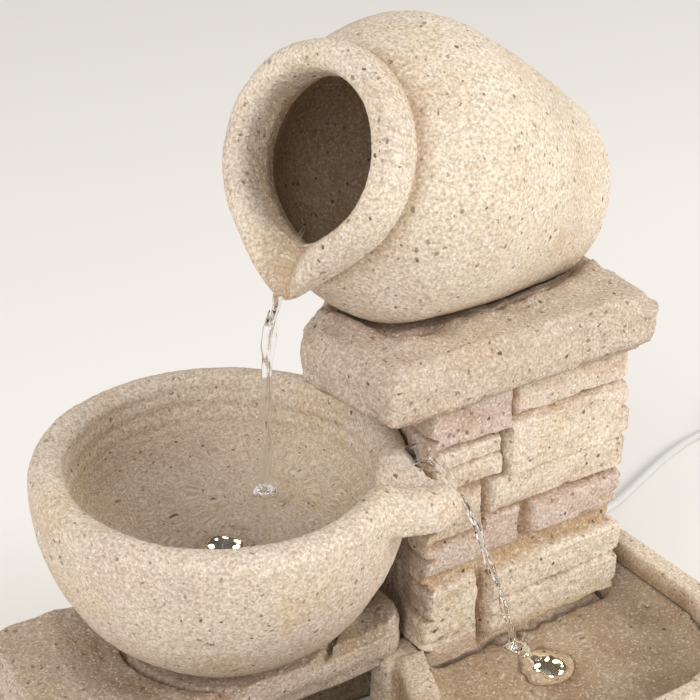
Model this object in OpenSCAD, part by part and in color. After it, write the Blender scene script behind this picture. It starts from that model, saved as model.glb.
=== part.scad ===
// Tabletop water fountain: a jug pours into a spouted bowl, the bowl pours
// into a basin, and a small pump lifts the water back up inside the column.
// Millimetres, +Z up. The origin is on the table under the middle of the
// object's box. +X runs along the front of the column, the front faces -Y.

/* [Basin] */
// Width of the basin casting
base_w = 256; // [236:1:310]
// Depth of the basin casting
base_d = 151; // [140:1:182]
// Height of the basin rim above the table
base_h = 69; // [60:1:84]
// Thickness of the basin wall
base_wall = 8; // [6:0.5:10]
// Height of the reservoir's floor above the table
base_floor = 6; // [5:0.5:10]
// Corner radius at the front
front_r = 52; // [30:1:60]
// Corner radius at the back
rear_r = 14; // [11:1:24]
// Height of the catch tray's floor above the table
tray_floor_z = 50; // [40:1:56]
// Thickness of the dividing wall between the tray and the reservoir
divider_w = 12; // [8:0.5:16]

/* [Column] */
// Width of the stone column
column_w = 90; // [76:1:108]
// Depth of the stone column
column_d = 68; // [60:1:82]
// Height from the table to the top of the column
column_h = 165; // [150:1:200]
// Thickness of the column wall behind the stones
column_wall = 6; // [4:0.5:8]
// How far the stones stand out of the wall
stone_relief = 3; // [2:0.5:4]
// Distance from the column to the right side of the basin
column_from_right = 21; // [18:1:30]

/* [Slabs] */
// Thickness of the cap slab under the jug
cap_t = 22; // [20:0.5:27]
// Overhang of the cap slab at the jug's mouth
cap_left = 23; // [16:1:28]
// Overhang of the cap slab on the other three sides
cap_over = 7; // [4:1:10]
// Thickness of the shelf slab under the bowl
shelf_t = 18; // [14:0.5:22]
// Height of the shelf slab's underside above the table
shelf_z = 65; // [56:1:68]

/* [Bowl] */
// Outer radius of the bowl
bowl_r = 65; // [56:1:74]
// Height from the table to the bowl's rim
bowl_rim_z = 150; // [138:1:158]
// Wall thickness of the bowl
bowl_wall = 12; // [9:0.5:14]
// Distance from the bowl's centre to the back of the basin
bowl_from_back = 36; // [32:1:44]
// Depth of the pocket that the bowl takes in the column's side
bowl_seat = 6; // [3:0.5:9]
// Outer radius of the pouring spout
spout_r = 16; // [13:0.5:18]
// Radius of the spout's channel
spout_channel_r = 8; // [5:0.5:9]
// Length of the spout beyond the bowl
spout_len = 14; // [8:1:20]

/* [Jug] */
// Largest radius of the jug
jug_r = 52; // [46:0.5:58]
// Length of the jug from rim to foot
jug_len = 125; // [112:1:140]
// Distance from the rim to the widest place
jug_belly = 42; // [36:1:50]
// Radius of the foot
jug_foot_r = 37.5; // [32:0.5:42]
// Outer radius of the rolled collar
collar_r = 36.5; // [33:0.5:39]
// Radius of the mouth
mouth_r = 26; // [22:0.5:28]
// Length of the collar along the jug
collar_len = 16; // [12:0.5:18]
// Wall thickness of the jug
jug_wall = 8; // [6:0.5:10]
// Length of the pouring lip from the jug's axis
lip_len = 50; // [44:1:54]
// Upward tilt of the jug's mouth
jug_tilt = 20.5; // [12:0.5:24]
// Turn of the jug's mouth towards the front
jug_turn = 14; // [0:1:24]

/* [Pump] */
// Width of the pump
pump_w = 30; // [26:1:32]
// Height of the pump housing
pump_h = 30; // [28:1:34]
// Length of the pump's motor block
motor_len = 26; // [20:1:30]
// Outer diameter of the pump nozzle
nozzle_d = 9; // [7:0.5:10]
// Wall thickness of the riser hose
hose_wall = 1.75; // [1.25:0.25:2.5]
// Diameter of the rotor's magnet
magnet_d = 11; // [9:0.5:13]
// Number of impeller blades
blade_n = 6; // [4:1:8]

/* [Access door] */
// Width of the rear access door
door_w = 58; // [44:1:64]
// Height of the rear access door
door_h = 52; // [40:1:58]
// Thickness of the door's panel
door_t = 3; // [2:0.5:4]

/* [Lights] */
// Diameter of the light pucks
led_d = 20; // [18:1:26]
// Height of the light pucks
led_h = 5; // [5:0.5:8]

/* [Cord] */
// Diameter of the power cord
cord_d = 4; // [3:0.5:5]
// Width of the plug-in adaptor
adaptor_w = 26; // [22:1:34]
// Length of the adaptor's body
adaptor_len = 40; // [34:1:50]

/* [Fits] */
// Gap between castings that are bonded together
bond_gap = 0.3; // [0.2:0.05:0.5]
// Radial clearance of running and sliding fits
run_gap = 0.1; // [0.05:0.01:0.15]

/* [Hidden] */
$fn = 64;
eps = 0.01;

// Where the castings stand
bowl_over = bowl_r - bowl_from_back;
back_y = (base_d - bowl_over) / 2;
front_y = back_y - base_d;
left_x = -base_w / 2;
right_x = base_w / 2;
well_back = back_y - base_wall;
col_x1 = right_x - column_from_right;
col_x0 = col_x1 - column_w;
col_y1 = well_back - bond_gap;
col_y0 = col_y1 - column_d;
col_cx = (col_x0 + col_x1) / 2;
col_cy = (col_y0 + col_y1) / 2;
core_inset = column_wall + stone_relief;
foot_d = 14;
foot_t = 2.5;
foot_proud = 1;
shelf_top = shelf_z + shelf_t;
cap_top = column_h + cap_t;
divider_top = base_h - 2;
divider_front_x = col_x0 - 30;
ledge_w = 12;

// Courses of stone on the column: lower and upper share of the height, then
// the joints as shares of the width
COURSES = [
    [66, 80, [0, 0.26, 0.66, 1]], [80, 91, [0, 0.38, 1]],
    [91, 103, [0, 0.20, 0.52, 1]], [103, 115, [0, 0.46, 1]],
    [115, 125, [0, 0.30, 0.50, 1]], [125, 141, [0, 0.34, 1]],
    [141, 153, [0, 0.22, 1]], [153, 165, [0, 0.48, 1]]
];
course_unit = column_h / 165;
joint_w = 1.6;

// Shelf slab outline
shelf_x0 = left_x + 5;
shelf_x1 = col_x0 - 4;
shelf_y0 = col_y0 + 4;
shelf_y1 = back_y;

// Bowl
bowl_x = col_x0 - bowl_r + bowl_seat;
bowl_y = back_y - bowl_from_back;
bowl_meet_y = bowl_y - sqrt(pow(bowl_r, 2) - pow(bowl_r - bowl_seat, 2));
bowl_sink = 5;
bowl_foot_z = shelf_top - bowl_sink;
bowl_foot_r = 30;
bowl_depth = bowl_rim_z - bowl_foot_z;
bowl_floor = 13;
bowl_power = 2.2;
spout_turn = -22;
spout_x = col_x0 - 11;
spout_y = col_y0 - 7;
spout_z = bowl_rim_z - 14;
spout_under = 3;

// Jug: its belly stands over the column
belly_x = col_cx - 33;
belly_y = col_cy + 5;
belly_z = cap_top + jug_r - 2;
foot_round = 10;
lip_root_r = 11;
lip_channel_r = 6;
jug_power = 1.31;
neck_r = collar_r - 3.5;
neck_s = collar_len / 2;
collar_mid = (collar_r + mouth_r) / 2;

// Riser hose, straight up from the pump through the cap slab into the jug
hose_x = col_cx - 10;
hose_y = col_cy + 8.5;
hose_od = nozzle_d + 2 * hose_wall;
grommet_d = hose_od + 4;
hose_top = belly_z - 38;

// Pump, with its shaft along X and its intake towards the reservoir
cup_h = 5;
pump_z0 = base_floor + cup_h;
shaft_z = pump_z0 + pump_h / 2;
volute_len = 13;
cover_len = 11;
volute_x0 = hose_x - volute_len / 2;
motor_x0 = volute_x0 + volute_len;
cover_x0 = volute_x0 - cover_len;
nozzle_z1 = pump_z0 + pump_h + 12;
shaft_d = 2;
cover_wall = 2;
impeller_d = 20;
impeller_t = 7;
rotor_well_r = magnet_d / 2 + 0.6;
magnet_len = motor_len - 8;
knob_d = 10;
knob_y = hose_y + pump_w / 2 - 8;
knob_z = pump_z0 + pump_h - 8;

// Access door
door_z0 = base_h + 6;
door_lip = 4;
magnet_d2 = 6;
magnet_t = 2;

// Light pucks
led_sink = 3;
bowl_led_z = bowl_foot_z + bowl_floor - led_sink;
tray_led_z = tray_floor_z - led_sink;
drain_step = 20;
drain_x = col_cx + drain_step;
tray_led_x = col_cx - 5;
tray_led_y = col_y0 - 22;
tray_lead_z = tray_floor_z - 12;

// Leads and cord
lead_d = 3;
lead_hole_d = lead_d + 0.6;
joiner = [20, 12, 9];
joiner_x = motor_x0 + 8;
joiner_y = col_y0 + core_inset + 8;
joiner_z = base_floor;
lead_z = joiner_z + 4.5;
port_y0 = hose_y - 14;
gland_x = col_x1 - 15;
gland_z = 14;
gland_d = 11;
gland_tail = 24;
coil_mid_r = 5.5 * cord_d;
coil_layers = 3;
coil_h = coil_layers * cord_d;
coil_x = gland_x + 248;
coil_y = back_y + 37;
tail_x = coil_x + coil_mid_r + cord_d;
tail_y = coil_y - 24;

// The route of the power cord over the table, from the gland to the coil
cord_z = cord_d / 2;
CORD_POINTS = [
    [92, 85, 14], [93, 92, 12.5], [95, 100, 8], [99, 108, 4], [107, 114, 2],
    [120, 115, 2], [136, 109, 2], [154, 101, 2], [174, 94, 2], [194, 91, 2],
    [212, 94, 2], [230, 101, 2], [250, 109, 2], [270, 116, 2], [290, 121, 2],
    [308, 122, 2], [323, 121, 2]
];
cord_shift = [gland_x - CORD_POINTS[0][0], back_y + gland_tail - CORD_POINTS[0][1], 0];
CORD_ROUTE = [for (p = CORD_POINTS) p + cord_shift];

// ---------------------------------------------------------------- helpers

function unit(v) = v / norm(v);

// Catmull-Rom point between p[i] and p[i + 1]
function spline_point(p, i, t) =
    let (a = p[max(i - 1, 0)], b = p[i], c = p[i + 1],
         d = p[min(i + 2, len(p) - 1)])
    0.5 * (2 * b + (c - a) * t + (2 * a - 5 * b + 4 * c - d) * t * t
           + (3 * b - a - 3 * c + d) * t * t * t);

function spline(p, n) = concat(
    [for (i = [0 : len(p) - 2]) for (k = [0 : n - 1]) spline_point(p, i, k / n)],
    [p[len(p) - 1]]);

function tangent(p, i) = unit(p[min(i + 1, len(p) - 1)] - p[max(i - 1, 0)]);

// Side vectors carried along the route without twist
function sides(p, i, s) = i == len(p) ? [] :
    let (t = tangent(p, i), m = unit(s - (s * t) * t))
    concat([m], sides(p, i + 1, m));

// A round tube swept along a list of points
module sweep(p, r, n = 8) {
    t0 = tangent(p, 0);
    s0 = abs(t0[2]) > 0.9 ? [1, 0, 0] : [0, 0, 1];
    s = sides(p, 0, s0);
    pts = [for (i = [0 : len(p) - 1]) let (t = tangent(p, i), u = cross(t, s[i]))
           for (k = [0 : n - 1]) p[i] + r * (cos(360 * k / n) * s[i] + sin(360 * k / n) * u)];
    faces = concat(
        [[for (k = [n - 1 : -1 : 0]) k]],
        [for (i = [0 : len(p) - 2]) for (k = [0 : n - 1])
            let (a = i * n + k, b = i * n + (k + 1) % n) [a, b, b + n, a + n]],
        [[for (k = [0 : n - 1]) (len(p) - 1) * n + k]]);
    polyhedron(pts, faces, convexity = 8);
}

// A rectangle with its own radius at the front and back corners
module plate(x0, x1, y0, y1, rf, rb) {
    translate([x0 + rf, y0]) square([x1 - x0 - 2 * rf, y1 - y0]);
    translate([x0, y0 + rf]) square([x1 - x0, y1 - y0 - rf - rb]);
    translate([x0 + rb, y1 - rb - 1]) square([x1 - x0 - 2 * rb, rb + 1]);
    for (x = [x0 + rf, x1 - rf]) translate([x, y0 + rf]) circle(r = rf);
    for (x = [x0 + rb, x1 - rb]) translate([x, y1 - rb]) circle(r = rb);
}

module box(x0, x1, y0, y1, z0, z1) {
    translate([x0, y0, z0]) cube([x1 - x0, y1 - y0, z1 - z0]);
}

module rod_x(x0, x1, y, z, r) {
    translate([x0, y, z]) rotate([0, 90, 0]) cylinder(r = r, h = x1 - x0);
}

module rod_y(y0, y1, x, z, r) {
    translate([x, y0, z]) rotate([-90, 0, 0]) cylinder(r = r, h = y1 - y0);
}

// ---------------------------------------------------------------- castings

module column_footprint(gap) {
    translate([col_x0 - gap, col_y0 - gap])
        square([column_w + 2 * gap, column_d + 2 * gap]);
}

// The slanted wall that parts the tray from the reservoir
module divider_line(shift, reach) {
    polygon([[col_x0 + shift, col_y0 + 1], [divider_front_x + shift, front_y - 1],
             [reach, front_y - 1], [reach, col_y0 + 1]]);
}

module inner_plate(inset) {
    plate(left_x + inset, right_x - inset, front_y + inset, back_y - inset,
          front_r - inset, rear_r - min(inset, rear_r - 2));
}

// Tray: in front of the column and along its right side
module tray_plan(inset) {
    difference() {
        intersection() {
            inner_plate(base_wall + inset);
            union() {
                divider_line(inset, right_x);
                translate([col_cx, col_y0 - 1]) square([column_w, column_d * 0.6]);
            }
        }
        column_footprint(bond_gap);
    }
}

// Reservoir: left of the divider and under the shelf slab
module reservoir_plan() {
    intersection() {
        inner_plate(base_wall);
        union() {
            divider_line(-divider_w, left_x);
            translate([left_x, col_y0 + 1]) square([col_x0 + 1 - left_x, base_d]);
        }
    }
}

module basin() {
    color([0.80, 0.74, 0.63]) difference() {
        translate([0, 0, foot_proud]) linear_extrude(base_h - foot_proud)
            plate(left_x, right_x, front_y, back_y, front_r, rear_r);
        translate([0, 0, tray_floor_z]) linear_extrude(base_h) tray_plan(0);
        difference() {
            translate([0, 0, base_floor]) linear_extrude(base_h) reservoir_plan();
            // ledge that carries the shelf slab beside the column
            box(shelf_x1 - ledge_w, col_x0 + 2, col_y0 + 1, col_y0 + 1 + ledge_w,
                0, shelf_z - bond_gap);
        }
        // well that the column stands in
        translate([0, 0, base_floor]) linear_extrude(base_h) column_footprint(bond_gap);
        // hollow underside of the tray
        translate([0, 0, -1]) linear_extrude(tray_floor_z - base_floor + 1)
            difference() {
                intersection() {
                    inner_plate(base_wall);
                    divider_line(base_wall, right_x);
                    translate([left_x, front_y]) square([base_w, col_y0 - front_y - base_wall]);
                }
                foot_places() circle(d = foot_d + 8);
            }
        translate([0, 0, -1]) foot_places()
            cylinder(d = foot_d, h = foot_t + 1);
        // seat of the shelf slab
        box(left_x - 1, shelf_x1 + bond_gap, shelf_y0 - bond_gap, back_y + 1,
            shelf_z - bond_gap, base_h + 1);
        // lowered divider and its overflow notch
        box(divider_front_x - 10, col_x0 + 4, front_y + base_wall + 4, col_y0 + 1,
            divider_top, base_h + 1);
        box(divider_front_x - 12, col_x0 - 12, front_y + base_wall + 14,
            front_y + base_wall + 26, divider_top - 4, base_h + 1);
        // cord outlet in the back wall
        rod_y(back_y - base_wall - 2, back_y + 1, gland_x, gland_z, gland_d / 2);
        // seat of the tray's light, and the holes for its lead
        translate([tray_led_x, tray_led_y, tray_led_z])
            cylinder(d = led_d + 2 * bond_gap, h = led_h);
        translate([tray_led_x, tray_led_y, base_floor]) cylinder(d = lead_hole_d, h = base_h);
        rod_y(col_y0 - base_wall - 2, col_y0, tray_led_x, tray_lead_z, lead_hole_d / 2);
    }
}

module stone_face(length, k) {
    // one face of the column, in XZ, its outer surface at y = 0
    for (i = [0 : len(COURSES) - 1]) {
        c = COURSES[i];
        top = i == len(COURSES) - 1 ? column_h : c[1] * course_unit - joint_w / 2;
        low = c[0] * course_unit + (i == 0 ? 0 : joint_w / 2);
        for (j = [0 : len(c[2]) - 2]) {
            a = c[2][j] * length + (j == 0 ? 0 : joint_w / 2);
            b = c[2][j + 1] * length - (j == len(c[2]) - 2 ? 0 : joint_w / 2);
            set_back = ((i * 2 + j * 3 + k) % 4) * 0.5;
            translate([a, set_back, low])
                cube([b - a, stone_relief + 2 - set_back, top - low]);
        }
    }
}

module column() {
    color([0.82, 0.76, 0.67]) difference() {
        union() {
            box(col_x0 + stone_relief, col_x1 - stone_relief, col_y0 + stone_relief,
                col_y1, base_floor, column_h);
            box(col_x0, col_x1, col_y0, col_y1, base_floor, COURSES[0][0] * course_unit);
            translate([col_x0, col_y0, 0]) stone_face(column_w, 0);
            translate([col_x1, col_y0, 0]) rotate([0, 0, 90]) stone_face(column_d, 1);
            translate([col_x0, col_y1, 0]) rotate([0, 0, -90]) stone_face(column_d, 2);
        }
        // hollow core
        box(col_x0 + core_inset, col_x1 - core_inset, col_y0 + core_inset,
            col_y1 - core_inset, base_floor - 1, column_h + 1);
        // water port to the reservoir, open at the floor
        box(col_x0 - 1, col_x0 + core_inset + 1, port_y0, port_y0 + 24,
            base_floor - 1, base_floor + 34);
        // drains from the tray, and the hole for its light's lead
        for (x = [drain_x - 2 * drain_step, drain_x - drain_step, drain_x])
            box(x - 4, x + 4, col_y0 - 1, col_y0 + core_inset + 1,
                tray_floor_z + 1, tray_floor_z + 7);
        rod_y(col_y0 - 1, col_y0 + core_inset + 1, tray_led_x, tray_lead_z,
              lead_hole_d / 2);
        // pocket for the bowl
        translate([bowl_x, bowl_y, shelf_z]) cylinder(r = bowl_r + bond_gap,
            h = bowl_rim_z - shelf_z + 1, $fn = 96);
        // rear opening, with a rebate for the door
        box(col_cx - door_w / 2 + door_lip, col_cx + door_w / 2 - door_lip,
            col_y1 - core_inset - 1, col_y1 + 1, door_z0 + door_lip,
            door_z0 + door_h - door_lip);
        box(col_cx - door_w / 2 - bond_gap, col_cx + door_w / 2 + bond_gap,
            col_y1 - door_t - run_gap, col_y1 + 1, door_z0 - bond_gap,
            door_z0 + door_h + bond_gap);
        magnet_holes(col_y1 - door_t - run_gap - magnet_t, col_y1);
        // outlet for the cord at the foot of the back wall
        rod_y(col_y1 - core_inset - 1, col_y1 + 1, gland_x, gland_z, gland_d / 2 + bond_gap);
    }
}

module shelf_slab() {
    color([0.76, 0.70, 0.63]) difference() {
        union() {
            translate([0, 0, shelf_z]) linear_extrude(shelf_t)
                plate(shelf_x0 + 2, shelf_x1, shelf_y0 + 1, shelf_y1 - 2, 12, 10);
            translate([0, 0, shelf_z + 4]) linear_extrude(shelf_t - 8)
                plate(shelf_x0, shelf_x1, shelf_y0 - 1, shelf_y1, 12, 10);
        }
        // dished seat for the bowl
        translate([bowl_x, bowl_y, bowl_foot_z]) cylinder(r = bowl_foot_r + 11, h = shelf_t);
        column_keepout();
        // hole for the light's lead
        translate([bowl_x, bowl_y, shelf_z - 1]) cylinder(d = lead_hole_d, h = shelf_t + 2);
    }
}

module column_keepout() {
    box(col_x0 - bond_gap, col_x1, col_y0 - bond_gap, col_y1 + 20, 0, column_h);
}

// Cap slab: thicker in the middle, its left back corner broken away
module cap_plan(inset) {
    x0 = col_x0 - cap_left + inset;
    x1 = col_x1 + cap_over - inset;
    y0 = col_y0 - cap_over + inset;
    y1 = col_y1 + cap_over - inset;
    polygon([[x0 + 2, y0], [x1 - 3, y0 + 1], [x1, y0 + 6], [x1 - 2, y1 - 4],
             [x1 - 8, y1], [x0 + 34, y1 - 2], [x0 + 4, y1 - 26], [x0 - 5, y1 - 38]]);
}

module cap_slab() {
    color([0.79, 0.72, 0.65]) difference() {
        union() {
            translate([0, 0, column_h]) linear_extrude(cap_t) cap_plan(3);
            translate([0, 0, column_h + 3]) linear_extrude(cap_t - 7) cap_plan(0);
        }
        // hollow carved for the jug, its seam turned away from the slab's edge
        jug_place() rotate([0, 0, 140]) jug_outside(bond_gap);
        translate([hose_x, hose_y, column_h - 1]) cylinder(d = hose_od + 1, h = cap_t + 2);
    }
}

// ---------------------------------------------------------------- bowl

function bowl_out(t, r, z0, z1, p) = [r * pow(1 - pow(t, p), 1 / p), z1 - (z1 - z0) * t];

module bowl_body() {
    steps = 20;
    lip = bowl_wall / 2;
    in_r = bowl_r - bowl_wall;
    floor_z = bowl_foot_z + bowl_floor;
    deep = bowl_foot_z - 6;
    outer = [for (i = [0 : steps]) let (t = i / steps)
             bowl_out(t, bowl_r, deep, bowl_rim_z - lip, bowl_power)];
    inner = [for (i = [steps : -1 : 0]) let (t = i / steps)
             bowl_out(t, in_r, floor_z - 3, bowl_rim_z - lip, bowl_power)];
    rim = [for (i = [1 : 7])
           [bowl_r - lip - lip * cos(22.5 * i), bowl_rim_z - lip + lip * sin(22.5 * i)]];
    translate([bowl_x, bowl_y, 0]) rotate_extrude($fn = 120) intersection() {
        polygon(concat(outer, inner, rim));
        translate([0, bowl_foot_z]) square([bowl_r + 1, bowl_depth + 1]);
    }
}

module spout_axis() {
    translate([spout_x, spout_y, spout_z]) rotate([0, 0, spout_turn]) children();
}

module bowl() {
    color([0.85, 0.79, 0.68]) difference() {
        union() {
            bowl_body();
            difference() {
                spout_axis() {
                    sphere(r = spout_r);
                    rotate([0, -90, 0]) cylinder(r = spout_r, h = bowl_r * 0.45);
                }
                translate([bowl_x, bowl_y, 0])
                    cylinder(r = bowl_r - bowl_wall / 2, h = bowl_rim_z + 9);
                box(bowl_x, col_x1, front_y, bowl_y + bowl_r, bowl_rim_z - 2, bowl_rim_z + 40);
                box(bowl_x, col_x1, front_y, bowl_y + bowl_r, 0, spout_z - spout_under);
            }
        }
        // channel of the spout, falling slightly outwards
        spout_axis() translate([2, spout_channel_r * 0.6, 10]) rotate([0, 3, 0]) {
            rotate([0, -90, 0]) translate([0, 0, -spout_len - 12])
                cylinder(r = spout_channel_r, h = bowl_r * 0.6 + spout_len + 12);
            translate([-bowl_r * 0.6, -spout_channel_r, 0])
                cube([bowl_r * 0.6 + spout_len, 2 * spout_channel_r, 30]);
        }
        box(col_x0 - bond_gap, col_x1, col_y0 - bond_gap, bowl_meet_y, 0, bowl_rim_z + 30);
        // flat seat for the light puck, and its lead's hole
        translate([bowl_x, bowl_y, bowl_led_z])
            cylinder(d = led_d + 2 * bond_gap, h = 8);
        translate([bowl_x, bowl_y, bowl_foot_z - 8]) cylinder(d = lead_hole_d, h = 30);
    }
}

// ---------------------------------------------------------------- jug

module jug_place() {
    translate([belly_x, belly_y, belly_z]) rotate([0, 90 - jug_tilt, jug_turn - 180])
        translate([0, 0, jug_belly]) children();
}

function jug_arc(r0, r1, s0, s1, n) =
    [for (i = [0 : n]) let (t = i / n) [r0 + (r1 - r0) * sin(90 * t), s0 + (s1 - s0) * t]];
function jug_fall(r0, r1, s0, s1, p, n) =
    [for (i = [1 : n]) let (t = i / n) [r0 - (r0 - r1) * pow(t, p), s0 + (s1 - s0) * t]];
function jug_foot(r, s, rr, n) =
    [for (i = [1 : n]) [r - rr + rr * cos(90 * i / n), s - rr * sin(90 * i / n)]];

// Outline from the neck at the rim down to the foot, swollen by grow
function jug_line(grow) = concat(
    jug_arc(neck_r + grow, jug_r + grow, -neck_s, -jug_belly, 9),
    jug_fall(jug_r + grow, jug_foot_r + grow, -jug_belly, -jug_len + foot_round - grow, jug_power, 8),
    jug_foot(jug_foot_r + grow, -jug_len + foot_round - grow, foot_round, 5));

module jug_outside(grow) {
    rotate_extrude($fn = 120)
        polygon(concat([[0, -neck_s]], jug_line(grow), [[0, -jug_len - grow]]));
}

module jug_inside() {
    line = jug_line(-jug_wall);
    rotate_extrude($fn = 96) polygon(concat([[0, collar_len], [mouth_r + 4, collar_len],
        [mouth_r, collar_len * 0.3], [mouth_r, -neck_s]], [for (p = line) if (p[0] > mouth_r + 0.5
        || p[1] < -jug_len / 2) p], [[0, -jug_len + jug_wall]]));
}

// Rolled collar: a ring with a rounded, slightly long section
module jug_collar() {
    rotate_extrude($fn = 96) polygon([for (a = [0 : 15 : 345])
        [collar_mid + (collar_r - mouth_r) / 2 * cos(a), collar_len / 2 * sin(a)]]);
}

module jug_lip(r, reach) {
    hull() {
        translate([collar_mid, 0, 0]) sphere(r = r, $fn = 32);
        translate([reach - 4, 0, 1]) sphere(r = 4, $fn = 32);
    }
}

module jug() {
    color([0.86, 0.80, 0.70]) difference() {
        union() {
            jug_place() {
                jug_outside(0);
                jug_collar();
                translate([0, 0, -neck_s - 1]) cylinder(r = neck_r, h = neck_s);
                jug_lip(lip_root_r, lip_len);
            }
        }
        jug_place() {
            jug_inside();
            translate([mouth_r - 14, 0, collar_len * 0.55]) rotate([0, 86, 0])
                cylinder(r = lip_channel_r, h = lip_len + 20);
        }
        // hole in the underside for the riser hose
        translate([hose_x, hose_y, cap_top - 24]) cylinder(d = grommet_d, h = 42);
    }
}

module hose_grommet() {
    color([0.16, 0.16, 0.17]) difference() {
        intersection() {
            translate([hose_x, hose_y, cap_top - 24]) cylinder(d = grommet_d, h = 60);
            jug_place() difference() {
                jug_outside(-0.5);
                jug_outside(-jug_wall - 1.5);
            }
            box(hose_x - 20, hose_x + 20, hose_y - 20, hose_y + 20, 0, belly_z - 20);
        }
        translate([hose_x, hose_y, 0]) cylinder(d = hose_od, h = belly_z);
    }
}

// ---------------------------------------------------------------- access door

module magnet_holes(y0, y1) {
    for (s = [-1, 1])
        rod_y(y0, y1, col_cx + s * (door_w / 2 - door_lip + 0.4), door_z0 + door_h / 2,
              magnet_d2 / 2);
}

module rear_door() {
    color([0.74, 0.69, 0.60]) difference() {
        union() {
            box(col_cx - door_w / 2, col_cx + door_w / 2, col_y1 - door_t, col_y1,
                door_z0, door_z0 + door_h);
            // plug that stands into the opening
            box(col_cx - door_w / 2 + door_lip + bond_gap,
                col_cx + door_w / 2 - door_lip - bond_gap,
                col_y1 - door_t - 3, col_y1 - door_t + eps, door_z0 + door_lip + bond_gap,
                door_z0 + door_h - door_lip - bond_gap);
        }
        // finger pull
        rod_y(col_y1 - 2, col_y1 + 1, col_cx, door_z0 + door_h - 2, 9);
        magnet_holes(col_y1 - door_t - 4, col_y1 - 1.2);
    }
}

module door_magnets() {
    color([0.72, 0.73, 0.75]) intersection() {
        magnet_holes(col_y1 - door_t, col_y1 - 1.2);
        box(col_x0, col_x1, col_y1 - door_t, col_y1, 0, column_h);
    }
}

module column_magnets() {
    color([0.72, 0.73, 0.75])
        magnet_holes(col_y1 - door_t - run_gap - magnet_t, col_y1 - door_t - run_gap);
}

module foot_places() {
    for (x = [left_x + front_r, right_x - front_r])
        for (y = [front_y + 4 + foot_d / 2, back_y - 10]) translate([x, y]) children();
}

module feet() {
    // soft pads let into the underside
    color([0.15, 0.15, 0.15]) foot_places() cylinder(d = foot_d, h = foot_t);
}

// ---------------------------------------------------------------- pump

module pump_block(x0, x1, inset) {
    box(x0, x1, hose_y - pump_w / 2 + inset, hose_y + pump_w / 2 - inset, pump_z0 + inset,
        pump_z0 + pump_h - inset);
}

module pump_housing() {
    // sealed motor block with the rotor's well
    color([0.10, 0.10, 0.11]) difference() {
        union() {
            pump_block(motor_x0, motor_x0 + motor_len, 0);
            for (i = [0 : 3]) box(motor_x0 + 5 + 5 * i, motor_x0 + 7 + 5 * i,
                hose_y - pump_w / 2 - 0.8, hose_y + pump_w / 2 + 0.8, pump_z0 + 4,
                pump_z0 + pump_h - 4);
        }
        rod_x(motor_x0 - 1, motor_x0 + magnet_len + 2, hose_y, shaft_z, rotor_well_r);
        rod_x(motor_x0, motor_x0 + motor_len - 3, hose_y, shaft_z, shaft_d / 2);
    }
}

module pump_volute() {
    // impeller chamber and the nozzle on top of it
    color([0.12, 0.12, 0.13]) difference() {
        union() {
            pump_block(volute_x0, motor_x0, 0.6);
            translate([hose_x, hose_y, pump_z0 + pump_h - 1])
                cylinder(d = nozzle_d, h = nozzle_z1 - pump_z0 - pump_h + 1);
        }
        rod_x(volute_x0 + 2, motor_x0 + 1, hose_y, shaft_z, impeller_d / 2 + 1.5);
        rod_x(volute_x0 - 1, volute_x0 + 3, hose_y, shaft_z, 5);
        translate([hose_x, hose_y, shaft_z + 4]) cylinder(d = nozzle_d - 3, h = 60);
    }
}

module pump_cover() {
    // slotted intake cover
    color([0.10, 0.10, 0.11]) difference() {
        pump_block(cover_x0, volute_x0, 0);
        translate([cover_x0 + cover_wall, hose_y - pump_w / 2 + cover_wall, pump_z0 + cover_wall])
            cube([cover_len, pump_w - 2 * cover_wall, pump_h - 2 * cover_wall]);
        for (i = [0 : 4])
            box(cover_x0 - 1, cover_x0 + cover_wall + 1, hose_y - pump_w / 2 + 4 + 3.4 * i,
                hose_y - pump_w / 2 + 5.8 + 3.4 * i, pump_z0 + 4, pump_z0 + pump_h - 14);
        rod_x(cover_x0 - 1, cover_x0 + cover_wall + 1, knob_y, knob_z, knob_d / 2 + run_gap);
    }
}

module flow_knob() {
    // dial that opens or closes the water inlet, turned by a finger tab
    color([0.20, 0.20, 0.22]) difference() {
        union() {
            rod_x(cover_x0 - 2.5, cover_x0 + cover_wall, knob_y, knob_z, knob_d / 2);
            box(cover_x0 - 5, cover_x0 - 2, knob_y - 1, knob_y + 1, knob_z - knob_d / 2 + 0.5,
                knob_z + knob_d / 2 - 0.5);
        }
        // water port through one half of the dial
        box(cover_x0 - 6, cover_x0 + cover_wall + 1, knob_y + 1.4, knob_y + 3.4, knob_z - 3, knob_z + 3);
    }
}

module rotor() {
    // magnet and impeller on one sleeve
    color([0.88, 0.88, 0.86]) difference() {
        union() {
            rod_x(motor_x0 + 0.6, motor_x0 + 0.6 + magnet_len, hose_y, shaft_z, magnet_d / 2);
            rod_x(volute_x0 + 3, motor_x0 + 1, hose_y, shaft_z, 3.2);
            rod_x(motor_x0 - 3, motor_x0 - 1.8, hose_y, shaft_z, impeller_d / 2);
            for (i = [0 : blade_n - 1]) translate([0, hose_y, shaft_z])
                rotate([i * 360 / blade_n, 0, 0])
                box(motor_x0 - 2 - impeller_t, motor_x0 - 2, -0.6, 0.6, 2, impeller_d / 2);
        }
        rod_x(volute_x0, motor_x0 + magnet_len + 2, hose_y, shaft_z, shaft_d / 2 + run_gap / 2);
    }
}

module rotor_shaft() {
    color([0.92, 0.92, 0.93])
        rod_x(volute_x0 + 2.4, motor_x0 + motor_len - 3, hose_y, shaft_z, shaft_d / 2);
}

module suction_cups() {
    color([0.18, 0.18, 0.19])
        for (x = [volute_x0 + 5, motor_x0 + motor_len - 7]) for (y = [-9, 9])
            translate([x, hose_y + y, base_floor]) rotate_extrude()
                polygon([[0, 1.2], [4, 0], [5.5, 0], [5.2, 1], [2.4, 2.8],
                         [2.4, cup_h], [0, cup_h]]);
}

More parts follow.
